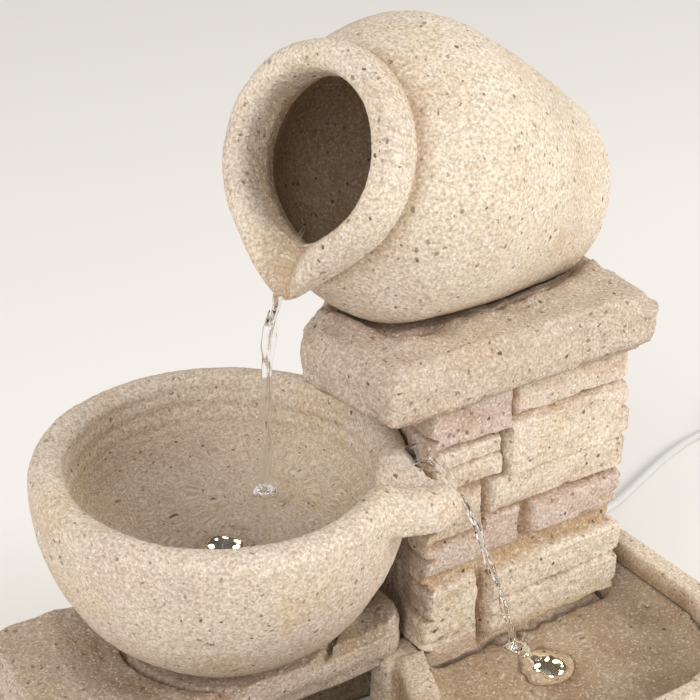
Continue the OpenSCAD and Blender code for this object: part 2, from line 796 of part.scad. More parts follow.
module riser_hose() {
    color([0.85, 0.88, 0.88, 0.6]) difference() {
        translate([hose_x, hose_y, pump_z0 + pump_h + 1])
            cylinder(d = hose_od, h = hose_top - pump_z0 - pump_h - 1);
        translate([hose_x, hose_y, pump_z0 + pump_h]) cylinder(d = nozzle_d, h = hose_top);
    }
}

// ---------------------------------------------------------------- lights

module puck(x, y, z) {
    translate([x, y, z]) difference() {
        union() {
            cylinder(d = led_d, h = led_h - 2);
            translate([0, 0, led_h - 2]) cylinder(d1 = led_d, d2 = led_d - 3, h = 2);
        }
        translate([0, 0, led_h - 2.5]) cylinder(d = led_d - 6, h = 4);
    }
}

module puck_lens(x, y, z) {
    translate([x, y, z + led_h - 2.5]) difference() {
        cylinder(d = led_d - 6, h = 2);
        for (i = [0 : 5]) rotate([0, 0, 60 * i]) translate([5, 0, 1.4]) cylinder(d = 3, h = 2);
    }
}

module bowl_light() {
    color([0.90, 0.90, 0.90]) puck(bowl_x, bowl_y, bowl_led_z);
}
module bowl_light_lens() {
    color([1, 0.95, 0.80]) puck_lens(bowl_x, bowl_y, bowl_led_z);
}
module tray_light() {
    color([0.90, 0.90, 0.90]) puck(tray_led_x, tray_led_y, tray_led_z);
}
module tray_light_lens() {
    color([1, 0.95, 0.80]) puck_lens(tray_led_x, tray_led_y, tray_led_z);
}

module lead_joiner() {
    // potted block where the leads meet the cord
    color([0.12, 0.12, 0.12]) translate([joiner_x, joiner_y - joiner[1] / 2, joiner_z])
        cube(joiner);
}

module light_leads() {
    // one lead from each puck to the joiner block
    color([0.85, 0.85, 0.82]) {
        sweep(spline([[bowl_x, bowl_y, bowl_led_z], [bowl_x, bowl_y, shelf_z - 3],
            [bowl_x + 2, bowl_y, 30], [bowl_x + 12, bowl_y - 2, 12], [bowl_x + 30, bowl_y - 5, 8.5],
            [col_x0 - 4, port_y0 + 4, 8.5], [col_x0 + 10, port_y0 + 3, 8.5],
            [col_x0 + 16, joiner_y + 6, 9], [col_x0 + 30, joiner_y, lead_z],
            [joiner_x, joiner_y, lead_z]], 3), lead_d / 2);
        sweep(spline([[tray_led_x, tray_led_y, tray_led_z],
            [tray_led_x, tray_led_y, tray_led_z - 4],
            [tray_led_x, tray_led_y + 4, tray_lead_z + 0.3],
            [tray_led_x, col_y0 - base_wall - 2, tray_lead_z],
            [tray_led_x, col_y0 + core_inset / 2, tray_lead_z],
            [tray_led_x, col_y0 + core_inset, tray_lead_z],
            [tray_led_x, col_y0 + core_inset + 2, tray_lead_z - 0.3],
            [tray_led_x + 7, joiner_y, tray_lead_z - 6],
            [joiner_x + 12, joiner_y, 23], [joiner_x + 12, joiner_y, joiner_z + joiner[2]]], 3),
            lead_d / 2);
    }
}

module pump_lead() {
    color([0.12, 0.12, 0.12])
        sweep(spline([[joiner_x + 15, hose_y - pump_w / 2 - 0.8, shaft_z - 6],
            [joiner_x + 15, hose_y - pump_w / 2 - 3, shaft_z - 8],
            [joiner_x + 15, joiner_y + joiner[1] / 2, lead_z]], 3), lead_d / 2);
}

// ---------------------------------------------------------------- cord

module cord_gland() {
    // bush through both back walls, and the tapered strain relief outside
    color([0.88, 0.88, 0.86]) {
        rod_y(well_back - core_inset, back_y + 1.5, gland_x, gland_z, gland_d / 2 - run_gap);
        rod_y(back_y + bond_gap, back_y + 3, gland_x, gland_z, gland_d / 2 + 2);
        translate([gland_x, back_y + 3, gland_z]) rotate([-90, 0, 0])
            cylinder(d1 = gland_d - 1, d2 = cord_d + 2, h = gland_tail - 3);
    }
}

module cord_inner() {
    // the cord's run inside, from the bush to the joiner block
    color([0.86, 0.86, 0.84]) sweep(spline([[gland_x, well_back - core_inset, gland_z],
        [gland_x, hose_y + 4, gland_z - 2], [gland_x, hose_y - 12, lead_z + 0.5],
        [gland_x - 1, joiner_y + 4, lead_z], [joiner_x + joiner[0] + 1, joiner_y, lead_z],
        [joiner_x + joiner[0], joiner_y, lead_z]], 3), cord_d / 2);
}

module cord_lead() {
    color([0.86, 0.86, 0.84]) sweep(spline(CORD_ROUTE, 3), cord_d / 2);
}

module cord_coil() {
    color([0.86, 0.86, 0.84]) translate([coil_x, coil_y, 0]) rotate_extrude($fn = 72)
        translate([coil_mid_r - 1.5 * cord_d, 0]) square([3 * cord_d, coil_h]);
}

module cord_tail() {
    color([0.86, 0.86, 0.84])
        sweep([[tail_x, coil_y - 13, cord_z], [tail_x, coil_y - 18, cord_z + 0.6],
               [tail_x, tail_y, cord_z + 2]], cord_d / 2);
}

module cord_tie() {
    color([0.1, 0.1, 0.1]) translate([coil_x, coil_y, 0]) intersection() {
        rotate_extrude($fn = 72) difference() {
            translate([coil_mid_r - 1.5 * cord_d - 1, 0]) square([3 * cord_d + 2, coil_h + 1]);
            translate([coil_mid_r - 1.5 * cord_d, -1]) square([3 * cord_d, coil_h + 1]);
        }
        rotate([0, 0, 200]) translate([0, -4, 0]) cube([coil_mid_r * 2, 8, coil_h * 2]);
    }
}

module adaptor() {
    color([0.92, 0.92, 0.90]) {
        translate([tail_x - adaptor_w / 2, tail_y - 12 - adaptor_len, 0])
            cube([adaptor_w, adaptor_len, 22]);
        translate([tail_x, tail_y, 4]) rotate([90, 0, 0]) cylinder(d1 = cord_d + 2, d2 = 8, h = 12);
    }
}

module adaptor_pins() {
    color([0.80, 0.80, 0.82]) for (s = [-1, 1])
        translate([tail_x + s * 6.5, tail_y - 12 - adaptor_len / 2, 22]) cylinder(d = 4, h = 17);
}

// ---------------------------------------------------------------- output

basin();
column();
shelf_slab();
cap_slab();
bowl();
jug();
rear_door();
door_magnets();
column_magnets();
feet();
pump_housing();
pump_volute();
pump_cover();
rotor();
rotor_shaft();
flow_knob();
suction_cups();
riser_hose();
hose_grommet();
bowl_light();
bowl_light_lens();
tray_light();
tray_light_lens();
light_leads();
pump_lead();
lead_joiner();
cord_gland();
cord_inner();
cord_lead();
cord_coil();
cord_tail();
cord_tie();
adaptor();
adaptor_pins();
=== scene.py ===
"""Looks of the tabletop water fountain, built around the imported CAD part.

Shapes are worked out in millimetres in the part's frame and turned into metres
when a piece is made. +X runs along the column's front, the front faces -Y.
"""
import math

import bpy
import numpy as np
from mathutils import Euler, Matrix, Vector, kdtree, noise


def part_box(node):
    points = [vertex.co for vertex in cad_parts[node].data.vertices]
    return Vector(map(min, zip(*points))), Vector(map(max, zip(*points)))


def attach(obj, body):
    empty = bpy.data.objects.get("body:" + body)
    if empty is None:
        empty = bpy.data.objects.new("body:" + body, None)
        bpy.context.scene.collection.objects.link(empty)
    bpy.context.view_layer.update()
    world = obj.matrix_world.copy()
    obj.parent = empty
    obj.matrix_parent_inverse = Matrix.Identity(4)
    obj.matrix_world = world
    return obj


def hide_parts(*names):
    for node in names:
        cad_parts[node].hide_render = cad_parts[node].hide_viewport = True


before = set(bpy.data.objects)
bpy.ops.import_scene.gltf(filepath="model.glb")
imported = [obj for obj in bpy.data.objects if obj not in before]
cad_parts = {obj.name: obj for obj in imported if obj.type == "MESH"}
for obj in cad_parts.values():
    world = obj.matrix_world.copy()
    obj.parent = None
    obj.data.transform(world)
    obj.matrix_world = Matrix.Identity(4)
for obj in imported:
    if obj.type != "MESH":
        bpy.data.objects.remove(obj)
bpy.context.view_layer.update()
MM = 0.001


# ------------------------------------------------------------------ measures

def corners(node):
    """Lowest and highest corner of a CAD node, in millimetres."""
    low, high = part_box(node)
    return Vector(low) / MM, Vector(high) / MM


def middle(node):
    low, high = corners(node)
    return (low + high) / 2


basin_low, basin_high = corners("basin")
column_low, column_high = corners("column")
cap_low, cap_high = corners("cap_slab")
bowl_low, bowl_high = corners("bowl")
slab_low, slab_high = corners("shelf_slab")
hose_axis = middle("riser_hose")

TRAY_FLOOR = basin_low.z + 49
TRAY_WATER = TRAY_FLOOR + 14
RESERVOIR_WATER = basin_low.z + 41

BOWL_RADIUS = 65
bowl_axis = middle("bowl_light")
BOWL_WATER = bowl_high.z - 18
bowl_water_radius = BOWL_RADIUS - 12
SPOUT = Vector((column_low.x - 11, column_low.y - 7, bowl_high.z - 12))

# The jug lies along an axis that rises towards its mouth
JUG_TILT = math.radians(20.5)
JUG_TURN = math.radians(14)
JUG_RADIUS = 52
JUG_LENGTH = 125
JUG_BELLY = 42
JUG_FOOT = 37.5
JUG_WALL = 8
COLLAR_RADIUS = 36.5
MOUTH_RADIUS = 26
COLLAR_HALF = 8
LIP_REACH = 50
NECK_RADIUS = 33
belly = Vector(((column_low.x + column_high.x) / 2 - 33,
                (column_low.y + column_high.y) / 2 + 5, cap_high.z + JUG_RADIUS - 2))
JUG_PLACE = (Matrix.Translation(belly) @ Matrix.Rotation(JUG_TURN - math.pi, 4, "Z")
             @ Matrix.Rotation(math.pi / 2 - JUG_TILT, 4, "Y")
             @ Matrix.Translation((0, 0, JUG_BELLY)))


# ------------------------------------------------------------------ camera

def set_camera():
    data = bpy.data.cameras.new("camera")
    data.sensor_width = 36
    data.lens = 79.71
    data.clip_start = 0.01
    data.clip_end = 20
    camera = bpy.data.objects.new("camera", data)
    camera.location = Vector((-252.0, -379.4, 418.7)) * MM
    camera.rotation_euler = Euler((math.radians(63), 0, math.radians(-33)))
    bpy.context.collection.objects.link(camera)
    bpy.context.scene.camera = camera


set_camera()


# ------------------------------------------------------------------ mesh tools

def new_piece(name, points, faces, material, body="root", slot=None, smooth=True):
    """A mesh piece from points in millimetres, riding on a body."""
    mesh = bpy.data.meshes.new(name)
    mesh.from_pydata([tuple(p) for p in np.asarray(points, dtype=float) * MM], [], faces)
    mesh.update()
    mesh.polygons.foreach_set("use_smooth", [smooth] * len(mesh.polygons))
    piece = bpy.data.objects.new(name, mesh)
    bpy.context.collection.objects.link(piece)
    finish_piece(piece, material, body)
    return piece


def finish_piece(piece, material, body="root"):
    piece.data.materials.clear()
    piece.data.materials.append(material)
    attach(piece, body)


def evaluated(piece):
    """Applies a piece's modifiers to its mesh."""
    graph = bpy.context.evaluated_depsgraph_get()
    mesh = bpy.data.meshes.new_from_object(piece.evaluated_get(graph))
    piece.modifiers.clear()
    old = piece.data
    piece.data = mesh
    bpy.data.meshes.remove(old)


def joined(name, parts):
    """One mesh from (points, faces) parts, in millimetres."""
    points, faces, base = [], [], 0
    for part_points, part_faces in parts:
        points.extend(part_points)
        faces.extend([[base + i for i in face] for face in part_faces])
        base += len(part_points)
    return points, faces


def skin_of(name, nodes, voxel, smoothing, extra=()):
    """A fine even skin over copies of CAD nodes and extra closed parts."""
    parts = list(extra)
    for node in nodes:
        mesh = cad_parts[node].data
        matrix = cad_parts[node].matrix_world
        points = [tuple((matrix @ v.co) / MM) for v in mesh.vertices]
        parts.append((points, [list(p.vertices) for p in mesh.polygons]))
    points, faces = joined(name, parts)
    mesh = bpy.data.meshes.new(name)
    mesh.from_pydata([tuple(c * MM for c in p) for p in points], [], faces)
    piece = bpy.data.objects.new(name, mesh)
    bpy.context.collection.objects.link(piece)
    weld = piece.modifiers.new("weld", "WELD")
    weld.merge_threshold = 0.00001
    remesh = piece.modifiers.new("remesh", "REMESH")
    remesh.mode = "VOXEL"
    remesh.voxel_size = voxel * MM
    remesh.use_smooth_shade = True
    if smoothing:
        smooth = piece.modifiers.new("smooth", "SMOOTH")
        smooth.factor = 0.5
        smooth.iterations = smoothing
    evaluated(piece)
    return piece


def soften(piece, weights, passes):
    """Smooths a piece where the weights are high."""
    patch = piece.vertex_groups.new(name="soft")
    for i in np.nonzero(weights > 0.02)[0]:
        patch.add([int(i)], float(min(weights[i], 1.0)), "REPLACE")
    smooth = piece.modifiers.new("soften", "SMOOTH")
    smooth.factor, smooth.iterations = 0.5, passes
    smooth.vertex_group = "soft"
    evaluated(piece)
    piece.vertex_groups.clear()


def points_of(piece):
    mesh = piece.data
    points = np.empty(len(mesh.vertices) * 3)
    normals = np.empty(len(mesh.vertices) * 3)
    mesh.vertices.foreach_get("co", points)
    mesh.vertex_normals.foreach_get("vector", normals)
    return points.reshape(-1, 3) / MM, normals.reshape(-1, 3)


def move_points(piece, points):
    piece.data.vertices.foreach_set("co", (points * MM).ravel())
    piece.data.update()


def set_hollow(piece, values):
    """Stores how much each point is darkened, for the stone material: painted shade in hollows,
    creases, under parts and on the shelf's top, together with dark joints, cracks and wet stains.
    """
    layer = piece.data.attributes.new("hollow", "FLOAT", "POINT")
    layer.data.foreach_set("value", np.clip(values, 0, 1).astype(np.float32))


def set_tone(piece, values):
    layer = piece.data.attributes.new("tone", "FLOAT", "POINT")
    layer.data.foreach_set("value", np.clip(values, 0, 1).astype(np.float32))


def lumps(points, size, octaves, seed):
    """Fractal noise about -1 to 1 whose largest lumps are size millimetres wide."""
    shift = Vector((seed * 17.3, seed * 5.1, seed * 9.7))
    return np.array([noise.fractal(Vector(p) / size + shift, 1.0, 2.0, octaves)
                     for p in points])


def pits(points, size, reach, seed):
    """1 in the middle of scattered small pits, 0 elsewhere."""
    shift = Vector((seed * 3.1, seed * 7.7, seed * 1.9))
    near = np.array([noise.voronoi(Vector(p) / size + shift)[0][0] for p in points])
    return np.clip(1 - near / reach, 0, 1)


def step(low, high, x):
    t = np.clip((x - low) / (high - low), 0, 1)
    return t * t * (3 - 2 * t)


def weather(piece, coarse, grain, pit, seed, coarse_size=22.0):
    """Hand-cast unevenness, sandy grain and small pits over a stone skin."""
    points, normals = points_of(piece)
    move = coarse * lumps(points, coarse_size, 3, seed)
    move += grain * lumps(points, 2.6, 2, seed + 3)
    hole = pits(points, 5.5, 0.17, seed + 5) if pit else 0
    move -= pit * hole
    move_points(piece, points + normals * move[:, None])
    return points, normals


def tube(path, radii, sides=12, squash=1.0, caps=True):
    """Closed tube along a path of points, its radius given at each point."""
    path = [Vector(p) for p in path]
    points, faces = [], []
    side = None
    for i, centre in enumerate(path):
        ahead = path[min(i + 1, len(path) - 1)] - path[max(i - 1, 0)]
        ahead.normalize()
        if side is None:
            side = ahead.orthogonal().normalized()
        side = (side - ahead * side.dot(ahead)).normalized()
        across = ahead.cross(side)
        for k in range(sides):
            turn = math.tau * k / sides
            points.append(centre + radii[i] * (math.cos(turn) * side
                                               + squash * math.sin(turn) * across))
    for i in range(len(path) - 1):
        for k in range(sides):
            a, b = i * sides + k, i * sides + (k + 1) % sides
            faces.append([a, b, b + sides, a + sides])
    if caps:
        faces.append(list(range(sides))[::-1])
        faces.append([(len(path) - 1) * sides + k for k in range(sides)])
    return points, faces


def turned(outline, segments, close=False):
    """Surface of revolution about Z through (radius, height) points."""
    points, faces = [], []
    count = len(outline)
    for j in range(segments):
        turn = math.tau * j / segments
        points += [Vector((r * math.cos(turn), r * math.sin(turn), z)) for r, z in outline]
    for j in range(segments):
        here, there = j * count, (j + 1) % segments * count
        for i in range(count - 1 + close):
            n = (i + 1) % count
            faces.append([here + i, there + i, there + n, here + n])
    return points, faces


def moved(part, matrix):
    points, faces = part
    return [matrix @ Vector(p) for p in points], faces


def curve_through(points, per_span):
    """Catmull-Rom curve through the points."""
    points = [Vector(p) for p in points]
    out = []
    for i in range(len(points) - 1):
        a, b = points[max(i - 1, 0)], points[i]
        c, d = points[i + 1], points[min(i + 2, len(points) - 1)]
        for k in range(per_span):
            t = k / per_span
            out.append(0.5 * (2 * b + (c - a) * t + (2 * a - 5 * b + 4 * c - d) * t * t
                              + (3 * b - a - 3 * c + d) * t ** 3))
    return out + [points[-1]]


# ------------------------------------------------------------------ node groups

def group(name, inputs, outputs):
    tree = bpy.data.node_groups.new(name, "ShaderNodeTree")
    for label, kind, value in inputs:
        socket = tree.interface.new_socket(label, in_out="INPUT", socket_type=kind)
        socket.default_value = value
    for label, kind in outputs:
        tree.interface.new_socket(label, in_out="OUTPUT", socket_type=kind)
    return tree, tree.nodes.new("NodeGroupInput"), tree.nodes.new("NodeGroupOutput")


class Wires:
    """Short ways to add and join nodes in one tree."""

    def __init__(self, tree):
        self.tree = tree

    def join(self, source, target):
        self.tree.links.new(source, target)

    def place(self, socket, value):
        if isinstance(value, bpy.types.NodeSocket):
            self.join(value, socket)
        else:
            socket.default_value = value

    def coordinates(self):
        return self.tree.nodes.new("ShaderNodeTexCoord").outputs["Object"]

    def noise(self, vector, scale, detail=2.0, rough=0.5, distortion=0.0):
        node = self.tree.nodes.new("ShaderNodeTexNoise")
        self.join(vector, node.inputs["Vector"])
        for label, value in (("Scale", scale), ("Detail", detail), ("Roughness", rough),
                             ("Distortion", distortion)):
            self.place(node.inputs[label], value)
        return node.outputs["Fac"]

    def cells(self, vector, scale):
        """Distance to the nearest cell centre, and a random value for each cell."""
        node = self.tree.nodes.new("ShaderNodeTexVoronoi")
        self.join(vector, node.inputs["Vector"])
        self.place(node.inputs["Scale"], scale)
        split = self.tree.nodes.new("ShaderNodeSeparateColor")
        self.join(node.outputs["Color"], split.inputs["Color"])
        return node.outputs["Distance"], split.outputs["Red"], split.outputs["Green"]

    def math(self, kind, a, b=0.0, clamp=False):
        node = self.tree.nodes.new("ShaderNodeMath")
        node.operation = kind
        node.use_clamp = clamp
        self.place(node.inputs[0], a)
        self.place(node.inputs[1], b)
        return node.outputs[0]

    def spread(self, value, low, high, to_low=0.0, to_high=1.0):
        node = self.tree.nodes.new("ShaderNodeMapRange")
        node.interpolation_type = "SMOOTHSTEP"
        self.place(node.inputs["Value"], value)
        for label, number in (("From Min", low), ("From Max", high), ("To Min", to_low),
                              ("To Max", to_high)):
            self.place(node.inputs[label], number)
        return node.outputs["Result"]

    def mix(self, factor, a, b, blend="MIX"):
        node = self.tree.nodes.new("ShaderNodeMix")
        node.data_type = "RGBA"
        node.blend_type = blend
        self.place(node.inputs[0], factor)
        self.place(node.inputs[6], a)
        self.place(node.inputs[7], b)
        return node.outputs[2]

    def attribute(self, name):
        node = self.tree.nodes.new("ShaderNodeAttribute")
        node.attribute_name = name
        return node.outputs["Fac"]


def make_speckle():
    """Sandy cast stone: clouds of ochre and mauve, pale and dark grains."""
    tree, entry, out = group("stone_speckle", [
        ("Base", "NodeSocketColor", (0.7, 0.6, 0.48, 1)),
        ("Ochre", "NodeSocketColor", (0.55, 0.4, 0.22, 1)),
        ("Mauve", "NodeSocketColor", (0.55, 0.44, 0.4, 1)),
        ("Shade and stain", "NodeSocketFloat", 0.0),
        ("Tone", "NodeSocketFloat", 0.0),
        ("Flecks", "NodeSocketFloat", 1.0),
    ], [("Color", "NodeSocketColor"), ("Height", "NodeSocketFloat"),
        ("Roughness", "NodeSocketFloat")])
    w = Wires(tree)
    place = w.coordinates()
    jitter = w.tree.nodes.new("ShaderNodeTexNoise")
    w.join(place, jitter.inputs["Vector"])
    jitter.inputs["Scale"].default_value = 620
    jitter.inputs["Detail"].default_value = 2
    broken = w.tree.nodes.new("ShaderNodeVectorMath")
    broken.operation = "MULTIPLY_ADD"
    w.join(jitter.outputs["Color"], broken.inputs[0])
    broken.inputs[1].default_value = (0.0022, 0.0022, 0.0022)
    w.join(place, broken.inputs[2])
    ragged = broken.outputs[0]
    cloud = w.spread(w.noise(place, 17, 3, 0.6), 0.42, 0.66)
    warm = w.spread(w.noise(place, 31, 4, 0.65, 0.4), 0.46, 0.70)
    color = w.mix(w.math("MULTIPLY", cloud, 0.42), entry.outputs["Base"], entry.outputs["Mauve"])
    color = w.mix(w.math("MULTIPLY", warm, 0.34), color, entry.outputs["Ochre"])
    color = w.mix(entry.outputs["Tone"], color, entry.outputs["Mauve"])
    # Painted shade and stains: this input pulls the colour towards a darker ochre in patches.
    shade_and_stain_mix = w.math("MULTIPLY", entry.outputs["Shade and stain"],
                   w.spread(w.noise(place, 60, 3, 0.6), 0.2, 0.75, 0.62, 1.0), True)
    color = w.mix(shade_and_stain_mix, color, w.mix(0.75, color, entry.outputs["Ochre"], "MULTIPLY"))
    grain = w.noise(place, 900, 3, 0.7)
    color = w.mix(0.9, color, w.mix(w.spread(grain, 0.3, 0.7), (0.66, 0.63, 0.60, 1),
                                    (1.26, 1.26, 1.26, 1)), "MULTIPLY")
    far, pick, size = w.cells(ragged, 820)
    pale = w.math("MULTIPLY", w.spread(far, 0.5, 0.3), w.spread(pick, 0.60, 0.66))
    color = w.mix(w.math("MULTIPLY", pale, 0.36), color, (0.95, 0.92, 0.88, 1))
    far, pick, size = w.cells(ragged, 620)
    rust = w.math("MULTIPLY", w.spread(far, 0.45, 0.28), w.spread(pick, 0.74, 0.78))
    color = w.mix(w.math("MULTIPLY", rust, 0.55), color, (0.42, 0.27, 0.15, 1))
    far, pick, size = w.cells(ragged, 430)
    edge = w.spread(size, 0.0, 1.0, 0.12, 0.36)
    dark = w.math("MULTIPLY", w.math("LESS_THAN", far, edge), w.math("GREATER_THAN", pick, 0.84))
    far, pick, size = w.cells(ragged, 210)
    edge = w.spread(size, 0.0, 1.0, 0.04, 0.17)
    large = w.math("MULTIPLY", w.math("LESS_THAN", far, edge), w.math("GREATER_THAN", pick, 0.66))
    dark = w.math("MAXIMUM", w.math("MULTIPLY", dark, 0.66), large)
    dark = w.math("MULTIPLY", dark, entry.outputs["Flecks"])
    color = w.mix(w.math("MULTIPLY", dark, 0.84), color, (0.075, 0.048, 0.034, 1))
    w.join(color, out.inputs["Color"])
    height = w.math("ADD", w.math("MULTIPLY", grain, 0.6), w.math("MULTIPLY", pale, 0.35))
    height = w.math("SUBTRACT", height, w.math("MULTIPLY", dark, 0.7))
    height = w.math("ADD", height, w.math("MULTIPLY", w.noise(place, 340, 3, 0.65), 0.9))
    w.join(height, out.inputs["Height"])
    w.join(w.spread(grain, 0.2, 0.8, 0.72, 0.92), out.inputs["Roughness"])
    return tree


def make_moulded():
    """Fine tooling texture and faint colour drift of moulded plastic or rubber."""
    tree, entry, out = group("moulded_texture", [
        ("Base", "NodeSocketColor", (0.5, 0.5, 0.5, 1)),
        ("Dust", "NodeSocketFloat", 0.15),
        ("Rough", "NodeSocketFloat", 0.45),
        ("Scale", "NodeSocketFloat", 1400.0),
    ], [("Color", "NodeSocketColor"), ("Height", "NodeSocketFloat"),
        ("Roughness", "NodeSocketFloat")])
    w = Wires(tree)
    place = w.coordinates()
    fine = w.noise(place, entry.outputs["Scale"], 2, 0.6)
    drift = w.spread(w.noise(place, 70, 4, 0.65), 0.45, 0.75)
    color = w.mix(w.math("MULTIPLY", drift, entry.outputs["Dust"]), entry.outputs["Base"],
                  (0.52, 0.49, 0.44, 1))
    w.join(color, out.inputs["Color"])
    w.join(fine, out.inputs["Height"])
    rough = w.math("ADD", entry.outputs["Rough"], w.math("MULTIPLY", drift, 0.16), True)
    w.join(rough, out.inputs["Roughness"])
    return tree


speckle = make_speckle()
moulded = make_moulded()


# ------------------------------------------------------------------ materials

def plain_material(name):
    material = bpy.data.materials.new(name)
    material.use_nodes = True
    material.node_tree.nodes.clear()
    w = Wires(material.node_tree)
    shader = material.node_tree.nodes.new("ShaderNodeBsdfPrincipled")
    out = material.node_tree.nodes.new("ShaderNodeOutputMaterial")
    w.join(shader.outputs[0], out.inputs["Surface"])
    return material, w, shader, out


def bump(w, shader, height, strength, distance):
    node = w.tree.nodes.new("ShaderNodeBump")
    node.inputs["Strength"].default_value = strength
    node.inputs["Distance"].default_value = distance
    w.join(height, node.inputs["Height"])
    w.join(node.outputs["Normal"], shader.inputs["Normal"])


def stone(name, base, ochre, mauve, flecks=1.0, relief=0.5, wet=0.0):
    """Speckled cast stone. wet from 0 to 1 lays a film of water over it."""
    material, w, shader, out = plain_material(name)
    node = w.tree.nodes.new("ShaderNodeGroup")
    node.node_tree = speckle
    for label, value in (("Base", base), ("Ochre", ochre), ("Mauve", mauve)):
        node.inputs[label].default_value = (*value, 1)
    node.inputs["Flecks"].default_value = flecks
    # Painted shade and stains come in here as a per-point attribute.
    w.join(w.attribute("hollow"), node.inputs["Shade and stain"])
    w.join(w.attribute("tone"), node.inputs["Tone"])
    w.join(node.outputs["Color"], shader.inputs["Base Color"])
    w.join(node.outputs["Roughness"], shader.inputs["Roughness"])
    shader.inputs["Specular IOR Level"].default_value = 0.32
    shader.inputs["Coat Weight"].default_value = wet
    shader.inputs["Coat Roughness"].default_value = 0.12
    bump(w, shader, node.outputs["Height"], relief, 0.0005)
    return material


def plastic(name, base, rough=0.45, dust=0.15, scale=1400.0, relief=0.12, coat=0.0):
    material, w, shader, out = plain_material(name)
    node = w.tree.nodes.new("ShaderNodeGroup")
    node.node_tree = moulded
    node.inputs["Base"].default_value = (*base, 1)
    node.inputs["Rough"].default_value = rough
    node.inputs["Dust"].default_value = dust
    node.inputs["Scale"].default_value = scale
    w.join(node.outputs["Color"], shader.inputs["Base Color"])
    w.join(node.outputs["Roughness"], shader.inputs["Roughness"])
    shader.inputs["Coat Weight"].default_value = coat
    bump(w, shader, node.outputs["Height"], relief, 0.0002)
    return material


def metal(name, base, rough):
    material, w, shader, out = plain_material(name)
    node = w.tree.nodes.new("ShaderNodeGroup")
    node.node_tree = moulded
    node.inputs["Base"].default_value = (*base, 1)
    node.inputs["Rough"].default_value = rough
    node.inputs["Dust"].default_value = 0.1
    w.join(node.outputs["Color"], shader.inputs["Base Color"])
    w.join(node.outputs["Roughness"], shader.inputs["Roughness"])
    shader.inputs["Metallic"].default_value = 1.0
    bump(w, shader, node.outputs["Height"], 0.06, 0.0001)
    return material


def clear(name, tint, ior, rough, ripple=0.0, ripple_scale=200.0):
    """Water, glass or clear vinyl. Light passes it without a hard shadow."""
    material, w, shader, out = plain_material(name)
    shader.inputs["Base Color"].default_value = (*tint, 1)
    shader.inputs["Roughness"].default_value = rough
    shader.inputs["IOR"].default_value = ior
    shader.inputs["Transmission Weight"].default_value = 1.0
    path = w.tree.nodes.new("ShaderNodeLightPath")
    through = w.tree.nodes.new("ShaderNodeBsdfTransparent")
    through.inputs["Color"].default_value = (*(0.5 + 0.5 * c for c in tint), 1)
    blend = w.tree.nodes.new("ShaderNodeMixShader")
    soft = w.math("MAXIMUM", path.outputs["Is Shadow Ray"], path.outputs["Is Diffuse Ray"])
    w.join(soft, blend.inputs[0])
    w.join(shader.outputs[0], blend.inputs[1])
    w.join(through.outputs[0], blend.inputs[2])
    w.join(blend.outputs[0], out.inputs["Surface"])
    if ripple:
        place = w.coordinates()
        bump(w, shader, w.noise(place, ripple_scale, 2, 0.5), ripple, 0.0006)
    return material


def glowing(name, base, glow, strength):
    material, w, shader, out = plain_material(name)
    place = w.coordinates()
    phosphor = w.spread(w.noise(place, 1800, 2, 0.5), 0.35, 0.65)
    w.join(w.mix(phosphor, (*base, 1), (*[c * 0.8 for c in base], 1)), shader.inputs["Base Color"])
    shader.inputs["Emission Color"].default_value = (*glow, 1)
    shader.inputs["Emission Strength"].default_value = strength
    return material


CREAM = (0.675, 0.59, 0.48)
OCHRE = (0.56, 0.39, 0.19)
MAUVE = (0.52, 0.405, 0.355)
jug_stone = stone("jug_stone", CREAM, OCHRE, MAUVE)
bowl_stone = stone("bowl_stone", (0.64, 0.55, 0.45), OCHRE, MAUVE)
slab_stone = stone("slab_stone", (0.55, 0.465, 0.37), (0.46, 0.33, 0.18), MAUVE, relief=0.8)
ledge_stone = stone("ledge_stone", (0.75, 0.66, 0.535), OCHRE, (0.56, 0.44, 0.385), relief=0.7)
basin_stone = stone("basin_stone", (0.70, 0.60, 0.47), (0.40, 0.28, 0.14), MAUVE, relief=0.6)

pump_black = plastic("pump_black", (0.022, 0.022, 0.025), 0.42)
knob_grey = plastic("knob_grey", (0.09, 0.09, 0.10), 0.4)
rotor_white = plastic("rotor_white", (0.72, 0.72, 0.69), 0.35)
ceramic = plastic("ceramic", (0.80, 0.80, 0.77), 0.15, 0.03, 2600, 0.04, 0.5)
foot_rubber = plastic("foot_rubber", (0.035, 0.035, 0.036), 0.8, 0.25, 2200, 0.3)
cup_rubber = plastic("cup_rubber", (0.03, 0.03, 0.032), 0.55, 0.2, 1800, 0.2)
puck_resin = stone("puck_resin", (0.60, 0.50, 0.37), OCHRE, MAUVE, relief=0.3)
adaptor_white = plastic("adaptor_white", (0.80, 0.80, 0.78), 0.34, 0.05)
tie_black = plastic("tie_black", (0.02, 0.02, 0.02), 0.5)
cord_vinyl = plastic("cord_vinyl", (0.66, 0.665, 0.65), 0.28, 0.05, 900, 0.08, 0.5)
magnet_steel = metal("magnet_steel", (0.62, 0.63, 0.65), 0.3)
pin_metal = metal("pin_metal", (0.78, 0.78, 0.79), 0.2)
board_dark = plastic("board_dark", (0.03, 0.028, 0.022), 0.35)
diode_warm = glowing("diode_warm", (0.95, 0.86, 0.55), (1.0, 0.86, 0.52), 6.0)
lens_clear = clear("lens_clear", (1.0, 0.98, 0.94), 1.49, 0.02)
hose_clear = clear("hose_clear", (0.93, 0.96, 0.95), 1.35, 0.12)
water_clear = clear("water_clear", (0.985, 0.995, 0.99), 1.333, 0.0, 0.22, 90.0)
stream_clear = clear("stream_clear", (0.99, 1.0, 1.0), 1.333, 0.0, 0.22, 420.0)


# ------------------------------------------------------------------ cord

